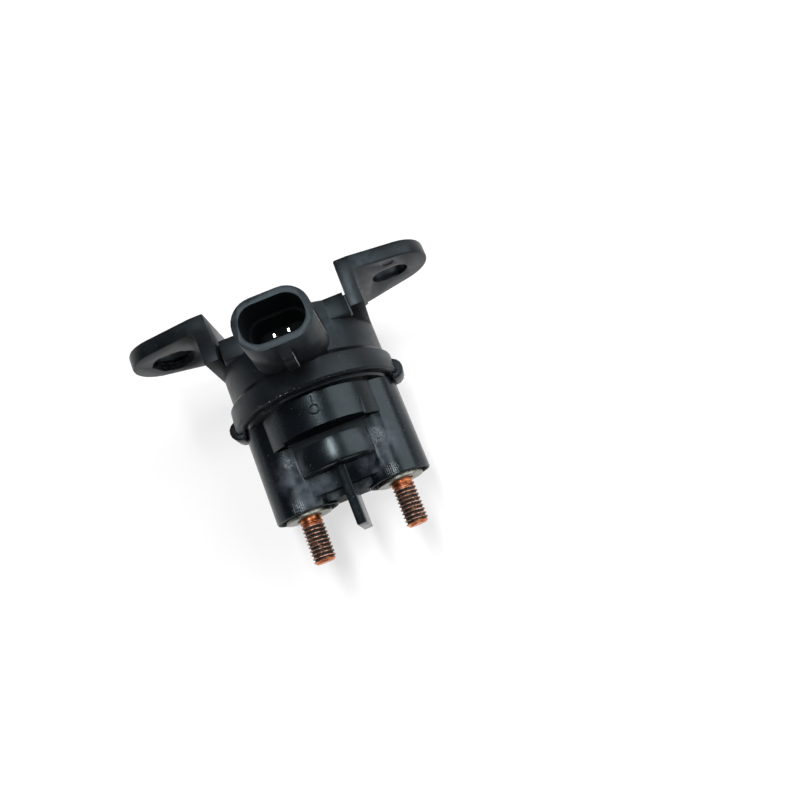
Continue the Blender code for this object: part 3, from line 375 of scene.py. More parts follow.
def plain_finish(name, dark, pale, cloud, roughness, metallic=1.0):
    """A finish that drifts from dark to pale in clouds of a size in mm."""
    made, tree, shader = material(name, Metallic=metallic)
    place = add(tree, "ShaderNodeTexCoord").outputs["Object"]
    clouds = add(tree, NOISE, {"Vector": place, "Scale": 1 / (cloud * MM), "Detail": 5.0})
    shade = add(tree, RAMP, (clouds,), stops=((0.3, dark), (0.7, pale)))
    gloss = {"Value": clouds, "From Min": 0.2, "From Max": 0.8}
    gloss = add(tree, RANGE, gloss | {"To Min": roughness - 0.06, "To Max": roughness + 0.1})
    relief = add(tree, BUMP, {"Strength": 0.4, "Distance": 0.02 * MM, "Height": clouds})
    paint(tree, shader, Base_Color=shade, Roughness=gloss, Normal=relief)
    return made


print("other finishes can be mixed")

# %% [markdown]
# One line for each finish. Copper's orange, brass's yellow and the cool grey of steel are
# the metals' own reflection, so they go into the base colour with metallic at 1. Nylon and
# rubber aren't metals: their colour is under the surface, and only the gloss lies on it.

# %% The other finishes
FINISHES = {
    "cover_plastic": cover_nylon,
    "housing_plastic": housing_nylon,
    # Zinc goes milky with age, so the eye gets a soft grey with a yellow cast and no mirror.
    "washer_steel": plain_finish("steel, zinc plated, aged", "66675F", "ABACA2", 0.5, 0.4),
    # Tin on a contact stays nearly white and shines.
    "tin_plate": plain_finish("brass, tin plated", "C8C4BA", "E6E4DC", 0.8, 0.25),
    # Turned iron is mid grey, with broad dull highlights from the tool marks.
    "soft_iron": plain_finish("soft iron, turned", "77787A", "909194", 1.4, 0.42),
    # Drawing a tube through a die polishes it, so brass looks yellow and smooth.
    "brass": plain_finish("brass, drawn", "B08A45", "C8A25A", 1.4, 0.3),
    # Drawn spring wire is darker than iron and a little oily, with tight highlights.
    "spring_steel": plain_finish("spring steel, drawn", "7E8084", "9A9CA0", 1.1, 0.32),
    # Stamped copper is salmon pink where it hasn't met the air.
    "copper": plain_finish("copper, stamped", "B06A48", "C98660", 1.6, 0.35),
    # Enamel makes copper wire look deep red-brown and wet.
    "coil_wire": plain_finish("copper wire, enamelled", "7A3A1C", "9A5228", 1.1, 0.25),
    # Natural nylon is the colour of old ivory, and dull.
    "bobbin_plastic": plain_finish("nylon, natural, moulded", "CFC8B4", "DDD7C6", 2.0, 0.5, 0.0),
    # Rubber is a warm black that hardly shines.
    "rubber": plain_finish("nitrile rubber, moulded", "17181A", "242628", 1.1, 0.7, 0.0),
}
# Stretched plastic is full of tiny tears, so the eye gets a chalky grey-white.
# The same pale finish is also a painted highlight along the parting line and the latch's edge.
stretched_nylon_and_highlight = plain_finish("nylon, stretched white, and edge highlight", "70777B", "C9CDCD", 0.5, 0.6, 0.0)
for part in frame["record"]["subparts"]:
    mesh = frame["nodes"][part["node"]].data
    mesh.materials.clear()
    mesh.materials.append(FINISHES[part["material_slot"]])

# %% [markdown]
# The two black mouldings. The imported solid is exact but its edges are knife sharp, and a
# moulding's never are: the mould's corners wear round and the plastic shrinks. The rounds
# could be modelled one by one, but a Bevel modifier on a copy finds every edge by its angle.
# It needs a clean mesh, so the copy's loose triangles are merged and its flats joined first.

# %% Soft edges
WELD = 0.002 * MM  # Points closer than this are one point.
FLAT = math.radians(0.6)  # Faces that meet at less than this are one flat.
EDGE = math.radians(30)  # An edge between faces that meet at more than this is rounded.
MOULD_EDGE = 0.15 * MM
PUNCHED_EDGE = 0.2 * MM


def merged(node):
    """A CAD node's mesh for editing, with its loose triangles merged."""
    shape = bmesh.new()
    shape.from_mesh(frame["nodes"][node].data)
    bmesh.ops.remove_doubles(shape, verts=shape.verts, dist=WELD)
    return shape


def softened(node, edge):
    """A copy of a CAD node with its flats joined and its edges rounded."""
    shape = merged(node)
    bmesh.ops.dissolve_limit(shape, angle_limit=FLAT, verts=shape.verts, edges=shape.edges)
    mesh = frame["nodes"][node].data.copy()
    shape.to_mesh(mesh)
    shape.free()
    obj = in_scene(f"{node}_finished", mesh)
    bevel = obj.modifiers.new("soft edges", "BEVEL")
    bevel.width = edge
    bevel.segments = 2
    bevel.limit_method = "ANGLE"
    bevel.angle_limit = EDGE
    return obj


print("edges can be softened")

# %% [markdown]
# A modifier only shows its work. It could stay on the piece, but the finished part has to be
# plain mesh, so the result is evaluated once and kept. Smooth shading then makes the rounds
# look round, and edges that are still sharper than an angle stay sharp.

# %% Plain meshes


def smoothed(mesh, sharp):
    """Shades a mesh smooth, but keeps edges above an angle sharp."""
    mesh.shade_smooth()
    mesh.set_sharp_from_angle(angle=math.radians(sharp))


def plain_mesh(obj):
    """Turns an object with modifiers into a plain mesh."""
    graph = bpy.context.evaluated_depsgraph_get()
    mesh = bpy.data.meshes.new_from_object(obj.evaluated_get(graph))
    obj.modifiers.clear()
    obj.data = mesh
    return obj


def made_solid(obj):
    """The plain mesh of a softened copy, shaded smooth over its rounds."""
    smoothed(plain_mesh(obj).data, 32)
    return obj


print("copies can be made plain")

# %% [markdown]
# The cover. Its socket is deep, and next to no light comes back out of it. The inside could
# be a second material, but then a seam would show where the two meet. So a test on each
# face's middle and direction marks the socket's walls and floor, and the same nylon paints
# shade on what is marked. The finished copy then takes the imported piece's place on the
# relay's body.

# %% The cover
TOWER_Y = -15.4  # The tower's middle line, in mm, as are the four limits below.
SOCKET_HALF_X, SOCKET_HALF_Y = 8, 4.9
SOCKET_LOW, SOCKET_HIGH = 5, 28.6


def shade_faces(obj, inside):
    """Marks the faces whose middle and normal pass a test, for the material's painted shade."""
    shade = obj.data.attributes.new("shade", "FLOAT", "FACE")
    marked = [1.0 if inside(face.center / MM, face.normal) else 0.0 for face in obj.data.polygons]
    shade.data.foreach_set("value", marked)
    print(obj.name, "has", int(sum(marked)), "sheltered faces")


def finish_piece(obj, node, body="relay_body"):
    """Makes a finished piece stand for a CAD node."""
    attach(obj, body)
    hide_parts(node)
    print(obj.name, "stands for", node, "with", len(obj.data.polygons), "faces")


def in_socket(place, normal):
    """True for a wall that looks at the tower's middle line, and for a floor between them."""
    y = place.y - TOWER_Y
    inwards = place.x * normal.x + y * normal.y < 0 or normal.z > 0.5
    within = abs(place.x) < SOCKET_HALF_X and abs(y) < SOCKET_HALF_Y
    return inwards and within and SOCKET_LOW < place.z < SOCKET_HIGH


cover = made_solid(softened("cover", MOULD_EDGE))
shade_faces(cover, in_socket)
finish_piece(cover, "cover")

# %% [markdown]
# On the real housing a narrow valley parts the spring pocket's block from the round contact
# chamber behind it, and it shows as a black band. It could be drawn as a dark stripe, but
# that would look painted from the side, so it is cut into the copy with a Boolean. The cut
# comes before the bevel, so the valley's rims catch the light too.

# %% The valley behind the pocket block


def mesh_from(name, shape):
    """Writes an edited shape to a new mesh and frees it."""
    mesh = bpy.data.meshes.new(name)
    shape.to_mesh(mesh)
    shape.free()
    return mesh


VALLEY_LOW = Vector((-10.4, -38.7, -1.2)) * MM
VALLEY_HIGH = Vector((10.4, -35.9, 12.0)) * MM
shape = bmesh.new()
bmesh.ops.create_cube(shape, size=1.0)
for vert in shape.verts:
    vert.co = [VALLEY_HIGH[i] if vert.co[i] > 0 else VALLEY_LOW[i] for i in range(3)]
cutter = in_scene("valley_cutter", mesh_from("valley_cutter", shape))
housing = softened("terminal_housing", MOULD_EDGE)
cut = housing.modifiers.new("valley", "BOOLEAN")
cut.operation = "DIFFERENCE"
cut.object = cutter
housing.modifiers.move(1, 0)
made_solid(housing)
bpy.data.objects.remove(cutter)
print("valley cut,", round((VALLEY_HIGH.y - VALLEY_LOW.y) / MM, 1), "mm wide")

# %% [markdown]
# The ends of the two collars face away from the lamps, and each washer sits in a well, so
# they get painted shade too. A soft ball would spill over onto the collar's outside, so
# their faces are marked as the socket's were.

# %% The ends of the collars
STUD_MIDDLE = middle("right_washer") / MM
COLLAR_FRONT_Y = -50  # The limits of the marked faces, in mm.
COLLAR_RADIUS = 9
WELL_RADIUS = 7.2


def on_collar_end(place, normal):
    """True for a collar's end face, and for all of the well that its washer sits in."""
    across = math.hypot(abs(place.x) - STUD_MIDDLE.x, place.z - STUD_MIDDLE.z)
    on_end = place.y < COLLAR_FRONT_Y and across < COLLAR_RADIUS
    return on_end and (normal.y < -0.8 or across < WELL_RADIUS)


shade_faces(housing, on_collar_end)
finish_piece(housing, "terminal_housing")

# %% [markdown]
# The washers are punched from zinc plated strip, so their edges are rolled over. The same
# bevel does that. Each is trimmed a little at its outer edge, because the photograph shows a
# black gap between the washer and its collar, and moving the outer points in is the simplest
# way to open it.

# %% Washers
OUTER_EDGE = 5 * MM  # Points further from the stud's axis than this are the outer edge.
TRIM = 0.1  # The share of its radius by which the outer edge moves in.
for side in ("left", "right"):
    washer = made_solid(softened(f"{side}_washer", PUNCHED_EDGE))
    centre = middle(f"{side}_washer")
    for vert in washer.data.vertices:
        outward = Vector((vert.co.x - centre.x, 0, vert.co.z - centre.z))
        if outward.length > OUTER_EDGE:
            vert.co -= TRIM * outward
    finish_piece(washer, f"{side}_washer")

# %% [markdown]
# The two springs inside. They are wound from drawn wire, and they get shorter when the coil
# pulls the plunger in: the return spring by the whole travel, and the contact spring only by
# what the rod runs on after the disc has landed. Each gets a finished copy with a mesh of its
# own, which rides on the body that carries it and keeps its length.

# %% The springs
PLUNGER_TRAVEL = 3.0 * MM
CONTACT_TRAVEL = 2.6 * MM
for node, body, pressed in (
    ("return_spring", "relay_body", PLUNGER_TRAVEL),
    ("contact_spring", "moving_contact", PLUNGER_TRAVEL - CONTACT_TRAVEL),
):
    low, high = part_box(node)
    spring = made_solid(softened(node, 0))
    finish_piece(spring, node, body)
    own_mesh(spring)

# %% [markdown]
# Geometry Nodes make what follows a rule or a path. Each tree has named inputs, and ends in
# Realize Instances and Set Material, so that what comes out is a real mesh with its own
# finish. It could stay on the object as a modifier, but it is made plain as the copies were.

# %% Helpers for Geometry Nodes
VALUE, WHOLE, PLACE = "NodeSocketFloat", "NodeSocketInt", "NodeSocketVector"
SHAPE, OBJECT, FINISH = "NodeSocketGeometry", "NodeSocketObject", "NodeSocketMaterial"


def new_tree(name, **inputs):
    """An empty tree, the identifiers of its inputs by name, and the sockets that give them."""
    tree = bpy.data.node_groups.new(name, "GeometryNodeTree")
    tree.interface.new_socket(name="Geometry", in_out="OUTPUT", socket_type=SHAPE)
    sockets = {}
    for key, kind in inputs.items():
        made = tree.interface.new_socket(name=key, in_out="INPUT", socket_type=kind)
        sockets[key] = made.identifier
    return tree, sockets, add(tree, "NodeGroupInput").outputs


def close_tree(tree, geometry, finish):
    """Ends a tree with Realize Instances and Set Material."""
    real = add(tree, "GeometryNodeRealizeInstances", (geometry,))
    painted = add(tree, "GeometryNodeSetMaterial", {"Geometry": real, "Material": finish})
    add(tree, "NodeGroupOutput", (painted,))
    print(tree.name, "tree has", len(tree.nodes), "nodes")


def run_tree(name, tree, sockets, values, start=None):
    """Evaluates a tree on a mesh, or on nothing, and gives back a plain mesh object."""
    obj = in_scene(name, start or bpy.data.meshes.new(name))
    modifier = obj.modifiers.new("tree", "NODES")
    modifier.node_group = tree
    for key, value in values.items():
        modifier[sockets[key]] = value
    return plain_mesh(obj)


print("trees can be made and run")

# %% [markdown]
# The thread of a stud. On the real one it is rolled: hard dies press a ridge that climbs one
# millimetre in each turn, which is the M6 thread. A screw modifier could sweep a ridge, but
# it can't fade out at the neck. So a flat grid of points is rolled up instead: one direction
# runs along the stud, the other round it, and the distance from the axis goes up and down
# with both. The first stretch is left plain, the tip is chamfered, and both ends close.

# %% A tree that rolls up a thread
thread, THREAD, given = new_tree(
    "rolled thread",
    Start=PLACE,
    Length=VALUE,
    Radius=VALUE,
    Depth=VALUE,
    Pitch=VALUE,
    Plain=VALUE,
    Clean=VALUE,
    Chamfer=VALUE,
    Metal=FINISH,
)
CAP = 0.02  # The share of the grid's length that closes each end.
# About 15 rows to each turn draw its tooth, and 48 sides look round.
rows = {"Size X": 1.0, "Size Y": 1.0, "Vertices X": 190, "Vertices Y": 49}
grid = add(thread, "GeometryNodeMeshGrid", rows)
flat = add(thread, "ShaderNodeSeparateXYZ", (add(thread, "GeometryNodeInputPosition"),))
run = add(thread, MATH, (flat.outputs["X"], 1 + 2 * CAP, 0.5), operation="MULTIPLY_ADD")
turn = add(thread, MATH, (flat.outputs["Y"], 0.5), operation="ADD")
inside = add(thread, RANGE, {"Value": run, "To Max": given["Length"]})
past_end = add(thread, MATH, (run, 1.0), operation="SUBTRACT")
before_start = add(thread, MATH, (run, -1.0), operation="MULTIPLY")
over = add(thread, MATH, (past_end, before_start), operation="MAXIMUM")
closing = add(thread, RANGE, {"Value": over, "From Max": CAP, "To Min": 1.0, "To Max": 0.0})
print("grid of", rows["Vertices X"], "by", rows["Vertices Y"], "points")

# %% [markdown]
# The ridge. How far along the screw's turn a point lies is its phase. Folding the phase in
# the middle gives a tooth, and a smooth step rounds its crest and root, as rolling does. The
# tooth is blended in after the plain neck, and the chamfer wins over it at the tip. The tree
# also stores how near each point is to a crest, and where the copper is still clean, because
# the material can't know that by itself.

# %% The ridge and its crest
SHANK = 0.45  # Rolling lifts the crests out of the roots, so the plain shank lies between.
turns_done = add(thread, MATH, (inside, given["Pitch"]), operation="DIVIDE")
phase = add(thread, MATH, (turns_done, turn), operation="ADD")
phase = add(thread, MATH, (phase,), operation="FRACT")
tooth = add(thread, MATH, (phase, 2.0, -1.0), operation="MULTIPLY_ADD")
tooth = add(thread, MATH, (tooth,), operation="ABSOLUTE")
tooth = {"Value": tooth, "From Min": 0.2, "From Max": 0.92}
crest = add(thread, RANGE, tooth, interpolation_type="SMOOTHSTEP")
full_from = add(thread, MATH, (given["Plain"], given["Pitch"]), operation="ADD")
begun = {"Value": inside, "From Min": given["Plain"], "From Max": full_from}
begun = add(thread, RANGE, begun, interpolation_type="SMOOTHSTEP")
depth = add(thread, MATH, (1.0, crest), operation="SUBTRACT")
depth = add(thread, MATH, (depth, given["Depth"]), operation="MULTIPLY")
shank = add(thread, MATH, (given["Depth"], SHANK), operation="MULTIPLY")
depth = add(thread, MIX, {"Factor": begun, "A": shank, "B": depth}, data_type="FLOAT")
to_tip = add(thread, MATH, (given["Length"], inside), operation="SUBTRACT")
chamfer = add(thread, MATH, (given["Chamfer"], to_tip), operation="SUBTRACT")
depth = add(thread, MATH, (depth, chamfer), operation="MAXIMUM")
height = add(thread, MATH, (crest, begun), operation="MULTIPLY")
neck = add(thread, MATH, (inside, given["Clean"]), operation="DIVIDE")
neck = {"Value": neck, "From Min": 0.6, "From Max": 1.1, "To Min": 1.0, "To Max": 0.0}
neck = add(thread, RANGE, neck)
tip = {"Value": to_tip, "From Min": 0.5 * MM, "From Max": 1.1 * MM, "To Min": 1.0, "To Max": 0.0}
bare = add(thread, MATH, (neck, add(thread, RANGE, tip)), operation="MAXIMUM")
print("ridge worked out with", len(thread.nodes), "nodes so far")

# %% [markdown]
# Rolling up. The distance from the axis and the turn make a circle by cosine and sine, and
# the way along goes to -Y, which is where the studs point. Merging by distance then closes
# the seam and the two poles.

# %% Rolling up
radius = add(thread, MATH, (given["Radius"], depth), operation="SUBTRACT")
radius = add(thread, MATH, (radius, closing), operation="MULTIPLY")
angle = add(thread, MATH, (turn, 2 * math.pi), operation="MULTIPLY")
cosine = add(thread, MATH, (angle,), operation="COSINE")
sine = add(thread, MATH, (angle,), operation="SINE")
across = add(thread, MATH, (cosine, radius), operation="MULTIPLY")
up = add(thread, MATH, (sine, radius), operation="MULTIPLY")
back = add(thread, MATH, (inside, -1.0), operation="MULTIPLY")
rolled = add(thread, "ShaderNodeCombineXYZ", (across, back, up))
rolled = add(thread, VECTOR, (rolled, given["Start"]), operation="ADD")
surface = grid
for name, value in (("crest", height), ("bare", bare)):
    fields = {"Geometry": surface, "Name": name, "Value": value}
    surface = add(thread, "GeometryNodeStoreNamedAttribute", fields, data_type="FLOAT")
surface = add(thread, "GeometryNodeSetPosition", {"Geometry": surface, "Position": rolled})
seam = {"Geometry": surface, "Distance": WELD}
surface = add(thread, "GeometryNodeMergeByDistance", seam)
close_tree(thread, surface, given["Metal"])

# %% [markdown]
# The studs' copper. At the neck and at the chamfered tip, where nuts keep rubbing, it is
# still orange. In the thread it has gone brown, nearly black at the roots, and only the
# crests are rubbed to a pale pink. A noise alone would put the brown anywhere, so the
# material reads the two attributes that the thread's tree stored.

# %% Weathered copper
STAIN = 1.3 * MM  # Finger and water stains on copper break up at about a millimetre.
PIT = 0.5 * MM  # Oxide grains are finer than 0.1 mm, and are drawn coarser so that they show.


def weathered_copper():
    """To the eye: brown and dull in the roots, bright pink on the crests, orange when clean."""
    made, tree, shader = material("copper, rolled thread, oxidised")
    place = add(tree, "ShaderNodeTexCoord").outputs["Object"]
    crest = add(tree, "ShaderNodeAttribute", attribute_name="crest").outputs["Fac"]
    bare = add(tree, "ShaderNodeAttribute", attribute_name="bare").outputs["Fac"]
    stain = add(tree, NOISE, {"Vector": place, "Scale": 1 / STAIN, "Detail": 5.0})
    pits = add(tree, NOISE, {"Vector": place, "Scale": 1 / PIT, "Detail": 3.0})
    uneven = {"Value": pits, "From Min": 0.3, "From Max": 0.7, "To Min": -0.2, "To Max": 0.14}
    uneven = add(tree, MATH, (crest, add(tree, RANGE, uneven)), operation="ADD")
    browns = ((0.0, "120D0B"), (0.62, "3A2821"), (0.86, "7A5644"), (1.0, "DCB29D"))
    oxide = add(tree, RAMP, (uneven,), stops=browns)
    oranges = ((0.3, "9A5230"), (0.5, "CB764C"), (0.7, "F0B48C"))
    clean = add(tree, RAMP, (stain,), stops=oranges)
    ragged = {"Value": stain, "From Min": 0.3, "From Max": 0.7, "To Min": -0.35, "To Max": 0.2}
    ragged = add(tree, RANGE, ragged)
    ragged = add(tree, MATH, (bare, ragged), operation="ADD", use_clamp=True)
    metal = add(tree, MIX, {"Factor": ragged, "A": oxide, "B": clean}, data_type="RGBA")
    rubbed_and_sheen = {"Value": crest, "From Min": 0.45, "From Max": 0.95, "To Min": 0.25}
    shine = add(tree, MATH, (bare, add(tree, RANGE, rubbed_and_sheen)), operation="MAXIMUM")
    gloss = {"Value": shine, "From Min": 0.2, "To Min": 0.62, "To Max": 0.36}
    relief = add(tree, BUMP, {"Strength": 0.6, "Distance": 0.05 * MM, "Height": pits})
    tree.links.new(metal.outputs[2], shader.inputs["Base Color"])
    paint(tree, shader, Metallic=shine, Roughness=add(tree, RANGE, gloss), Normal=relief)
    return made


stud_copper = weathered_copper()
print("stud finish:", stud_copper.name)

# %% [markdown]
# Each stud goes on inside the housing as a plain shank with a contact head. Making that half
# again would only risk a difference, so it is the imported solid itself, cut off just inside
# the washer and capped. The rolled thread starts in the cut.

# %% Threaded studs


def half_stud(node, cut_y):
    """The inner half of a stud's solid, cut across and capped."""
    shape = merged(node)
    everything = shape.verts[:] + shape.edges[:] + shape.faces[:]
    plane = {"plane_co": (0, cut_y, 0), "plane_no": (0, -1, 0)}
    bmesh.ops.bisect_plane(shape, geom=everything, clear_outer=True, **plane)
    rim = [edge for edge in shape.edges if edge.is_boundary]
    bmesh.ops.holes_fill(shape, edges=rim, sides=0)
    return shape


SEAT_Y = WASHER_FACE_Y + 0.5 * MM  # The cut lies where the washer hides it.
# An M6 stud: a ridge every millimetre, and a few hundredths off its diameter for clearance.
M6 = {
    "Radius": 2.98 * MM,
    "Depth": 0.5 * MM,
    "Pitch": 1.0 * MM,
    "Plain": 1.0 * MM,
    "Clean": 2.9 * MM,
    "Chamfer": 0.75 * MM,
    "Metal": stud_copper,
}
for side in ("left", "right"):
    node = f"{side}_stud"
    centre = middle(f"{side}_washer")
    place = {"Start": (centre.x, SEAT_Y, centre.z), "Length": SEAT_Y - STUD_TIP_Y}
    stud = run_tree(f"{node}_threaded", thread, THREAD, M6 | place)
    shape = half_stud(node, SEAT_Y)
    shape.from_mesh(stud.data)
    bmesh.ops.recalc_face_normals(shape, faces=shape.faces)
    shape.to_mesh(stud.data)
    shape.free()
    smoothed(stud.data, 50)
    stud.data.materials.clear()
    stud.data.materials.append(stud_copper)
    finish_piece(stud, node)

# %% [markdown]
# Thin raised lines on the mouldings. A mould leaves a line where its halves meet, and this
# one has a small plain ring with a line on the contact chamber. They could be drawn with a
# bump, but real lines stand up and have a side. So each is a path of points in the air. The
# tree drops the path onto the piece with a ray cast and gives it a round section, so that it
# follows the wall exactly.

# %% A tree that lays a line on a surface
DROP = 0.1  # How far a path may fall, in metres: more than the relay is deep.
line, LINE, given = new_tree(
    "line laid on a surface",
    Path=SHAPE,
    Carrier=OBJECT,
    Direction=PLACE,
    Thickness=VALUE,
    Plastic=FINISH,
)
path = add(line, "GeometryNodeMeshToCurve", {"Mesh": given["Path"]})
path = add(line, "GeometryNodeResampleCurve", {"Curve": path, "Count": 48})
carrier = add(line, "GeometryNodeObjectInfo", {"Object": given["Carrier"]}).outputs["Geometry"]
ray = {"Target Geometry": carrier, "Ray Direction": given["Direction"], "Ray Length": DROP}
landed = add(line, "GeometryNodeRaycast", ray).outputs["Hit Position"]
path = add(line, "GeometryNodeSetPosition", {"Geometry": path, "Position": landed})
section = {"Resolution": 8, "Radius": given["Thickness"]}
section = add(line, "GeometryNodeCurvePrimitiveCircle", section)
swept = {"Curve": path, "Profile Curve": section, "Fill Caps": True}
close_tree(line, add(line, "GeometryNodeCurveToMesh", swept), given["Plastic"])

# %% [markdown]
# The lines themselves: the plain ring with its line, the tower's parting line, and the edge
# of the latch. The last two are pale, a painted highlight along those edges. Each path is a
# list of points in mm, and each is dropped straight at the wall that carries it.

# %% Ring, parting line and latch edge


def ride_along(obj):
    """A small extra piece of the relay's fixed body."""
    smoothed(obj.data, 40)
    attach(obj, "relay_body")
    print(obj.name, "has", len(obj.data.polygons), "faces")


def lay_line(name, points, carrier, direction, thickness, plastic):
    """Drops a path of points in mm onto the carrier, as a line of a thickness in mm."""
    path = bpy.data.meshes.new(name)
    corners = [[c * MM for c in point] for point in points]
    path.from_pydata(corners, [(i, i + 1) for i in range(len(corners) - 1)], [])
    values = {"Carrier": carrier, "Direction": direction}
    values |= {"Thickness": thickness * MM, "Plastic": plastic}
    ride_along(run_tree(name, line, LINE, values, path))


DOWN, BACK, LEFT = (0, 0, -1), (0, 1, 0), (-1, 0, 0)
RING_X, RING_Y, RING_RADIUS = -0.3, -31.8, 1.1
turns = [step * math.pi / 18 for step in range(37)]  # Every 10 degrees, and back to the start.
ring = [
    (RING_X + RING_RADIUS * math.sin(turn), RING_Y + RING_RADIUS * math.cos(turn), 30)
    for turn in turns
]
stroke = ((0.0, -28.3, 30), (-0.2, -30.7, 30))
parting = ((30, -17.2, 28.6), (30, -17.2, 12.0))
latch = ((1.12, -45, 24.2), (1.12, -45, 18.6))
lay_line("mould_ring", ring, housing, DOWN, 0.2, housing_nylon)
lay_line("mould_line", stroke, housing, DOWN, 0.2, housing_nylon)
# Painted highlight: the parting line and the latch's edge are drawn in pale nylon.
lay_line("parting_line", parting, cover, LEFT, 0.07, stretched_nylon_and_highlight)
lay_line("latch_edge", latch, cover, BACK, 0.06, stretched_nylon_and_highlight)

# %% [markdown]
# Burrs. The flange was knocked against metal when the relay was fitted, and small flecks of
# plastic stand up along its front edge, stretched until they turned white. A few could be
# placed by hand, but a rule looks less placed: the tree spreads them along an arc with a
# fixed seed, and gives each its own size, stretch and turn.

# %% A tree that spreads flecks along an arc
burrs, BURRS, given = new_tree(
    "flecks along an arc",
    Centre=PLACE,
    Radius=VALUE,
    From=VALUE,
    Sweep=VALUE,
    Count=WHOLE,
    Size=VALUE,
    Seed=WHOLE,
    Plastic=FINISH,
)
STAND_UP = (math.pi / 2, 0, 0)  # An arc is drawn flat, and the flange's plane stands up.
arc = {"Radius": given["Radius"], "Start Angle": given["From"], "Sweep Angle": given["Sweep"]}
bow = add(burrs, "GeometryNodeCurveArc", arc | {"Resolution": 60})
bow = {"Geometry": bow, "Translation": given["Centre"], "Rotation": STAND_UP}
bow = add(burrs, "GeometryNodeTransform", bow)
dots = add(burrs, "GeometryNodeCurveToPoints", {"Curve": bow, "Count": given["Count"]})
# The least and most that each fleck is shifted, turned in radians, and stretched.
spans = {
    "shake": ((-0.9 * MM, -0.12 * MM, -0.1 * MM), (0.9 * MM, 0.25 * MM, 0.12 * MM)),
    "turn": ((-1.5, -1.5, -1.5), (1.5, 1.5, 1.5)),
    "size": ((0.15, 0.1, 0.12), (1.5, 0.5, 0.8)),
}
drawn = {}
for name, (low, high) in spans.items():
    limits = {"Min": low, "Max": high, "Seed": given["Seed"]}
    drawn[name] = add(burrs, "FunctionNodeRandomValue", limits, data_type="FLOAT_VECTOR")
dots = add(burrs, "GeometryNodeSetPosition", {"Geometry": dots, "Offset": drawn["shake"]})
# A fleck is a ball of radius 1 that a noise of about half its size dents.
fleck = add(burrs, "GeometryNodeMeshIcoSphere", {"Radius": 1.0, "Subdivisions": 1})
rough = add(burrs, NOISE, {"Scale": 1.7, "Detail": 1.0}).outputs["Color"]
rough = add(burrs, VECTOR, (rough, (0.5, 0.5, 0.5)), operation="SUBTRACT")
fleck = add(burrs, "GeometryNodeSetPosition", {"Geometry": fleck, "Offset": rough})
sizes = add(burrs, VECTOR, {"Vector": drawn["size"], "Scale": given["Size"]}, operation="SCALE")
spread = {"Points": dots, "Instance": fleck, "Rotation": drawn["turn"], "Scale": sizes}
close_tree(burrs, add(burrs, "GeometryNodeInstanceOnPoints", spread), given["Plastic"])

# %% [markdown]
# Two runs of the same tree: a few larger flecks at the upper left of the flange, where the
# photograph shows them, and finer ones all along the top.

# %% Burrs along the flange
# Where each run starts and how far it goes, in degrees, its count, its size in mm and seed.
for name, start, sweep, count, size, seed in (
    ("flange_burrs_left", 94, 20, 4, 0.24, 3),
    ("flange_burrs_fine", 60, 85, 15, 0.11, 5),
):
    values = {
        "Centre": (0, FLANGE_FRONT_Y + 0.1 * MM, AXIS_Z),
        "Radius": FLANGE_RADIUS,
        "From": math.radians(start),
        "Sweep": math.radians(sweep),
        "Count": count,
        "Size": size * MM,
        "Seed": seed,
        "Plastic": stretched_nylon_and_highlight,
    }
    ride_along(run_tree(name, burrs, BURRS, values))

# %% [markdown]
# Torn plastic. The left ear's hole is broken out, and the plastic tore away in layers that
# lie round its lower half, one behind the other. Sculpting them by hand would take long and
# couldn't be repeated. Here each layer is an arc whose points are pushed about by a noise
# and whose thickness swells and shrinks, so no two look alike.

# %% A tree for a torn edge
WANDER = 1.6 * MM  # The torn edge wanders in and out over this length,
SWELL = 0.9 * MM  # and gets thicker and thinner over this one.
torn, TORN, given = new_tree(
    "torn layer along an arc",
    Centre=PLACE,
    Radius=VALUE,
    From=VALUE,
    Sweep=VALUE,
    Thickness=VALUE,
    Unevenness=VALUE,
    Plastic=FINISH,
)
arc = {"Radius": given["Radius"], "Start Angle": given["From"], "Sweep Angle": given["Sweep"]}
edge = add(torn, "GeometryNodeCurveArc", arc | {"Resolution": 70})
edge = {"Geometry": edge, "Translation": given["Centre"], "Rotation": STAND_UP}
edge = add(torn, "GeometryNodeTransform", edge)
push = add(torn, NOISE, {"Scale": 1 / WANDER, "Detail": 3.0}).outputs["Color"]
push = add(torn, VECTOR, (push, (0.5, 0.5, 0.5)), operation="SUBTRACT")
push = add(torn, VECTOR, {"Vector": push, "Scale": given["Unevenness"]}, operation="SCALE")
edge = add(torn, "GeometryNodeSetPosition", {"Geometry": edge, "Offset": push})
swell = add(torn, NOISE, {"Scale": 1 / SWELL, "Detail": 2.0})
swell = {"Value": swell, "From Min": 0.3, "From Max": 0.7, "To Min": 0.5, "To Max": 1.5}
swell = add(torn, RANGE, swell)
edge = add(torn, "GeometryNodeSetCurveRadius", {"Curve": edge, "Radius": swell})
section = {"Resolution": 7, "Radius": given["Thickness"]}
section = add(torn, "GeometryNodeCurvePrimitiveCircle", section)
swept = {"Curve": edge, "Profile Curve": section, "Fill Caps": True}
close_tree(torn, add(torn, "GeometryNodeCurveToMesh", swept), given["Plastic"])

# %% [markdown]
# The same tree draws the five layers in the hole, and also the thin ragged flash that the
# mould left on the housing's lip, under the flange at the upper left.

# %% Torn layers and flash
# The depth of each layer in the hole, its radius and its thickness, in mm.
LAYERS = (
    (0.5, 6.2, 0.34),
    (1.1, 5.6, 0.42),
    (1.8, 5.0, 0.46),
    (2.4, 4.5, 0.42),
    (3.2, 4.2, 0.4),
)
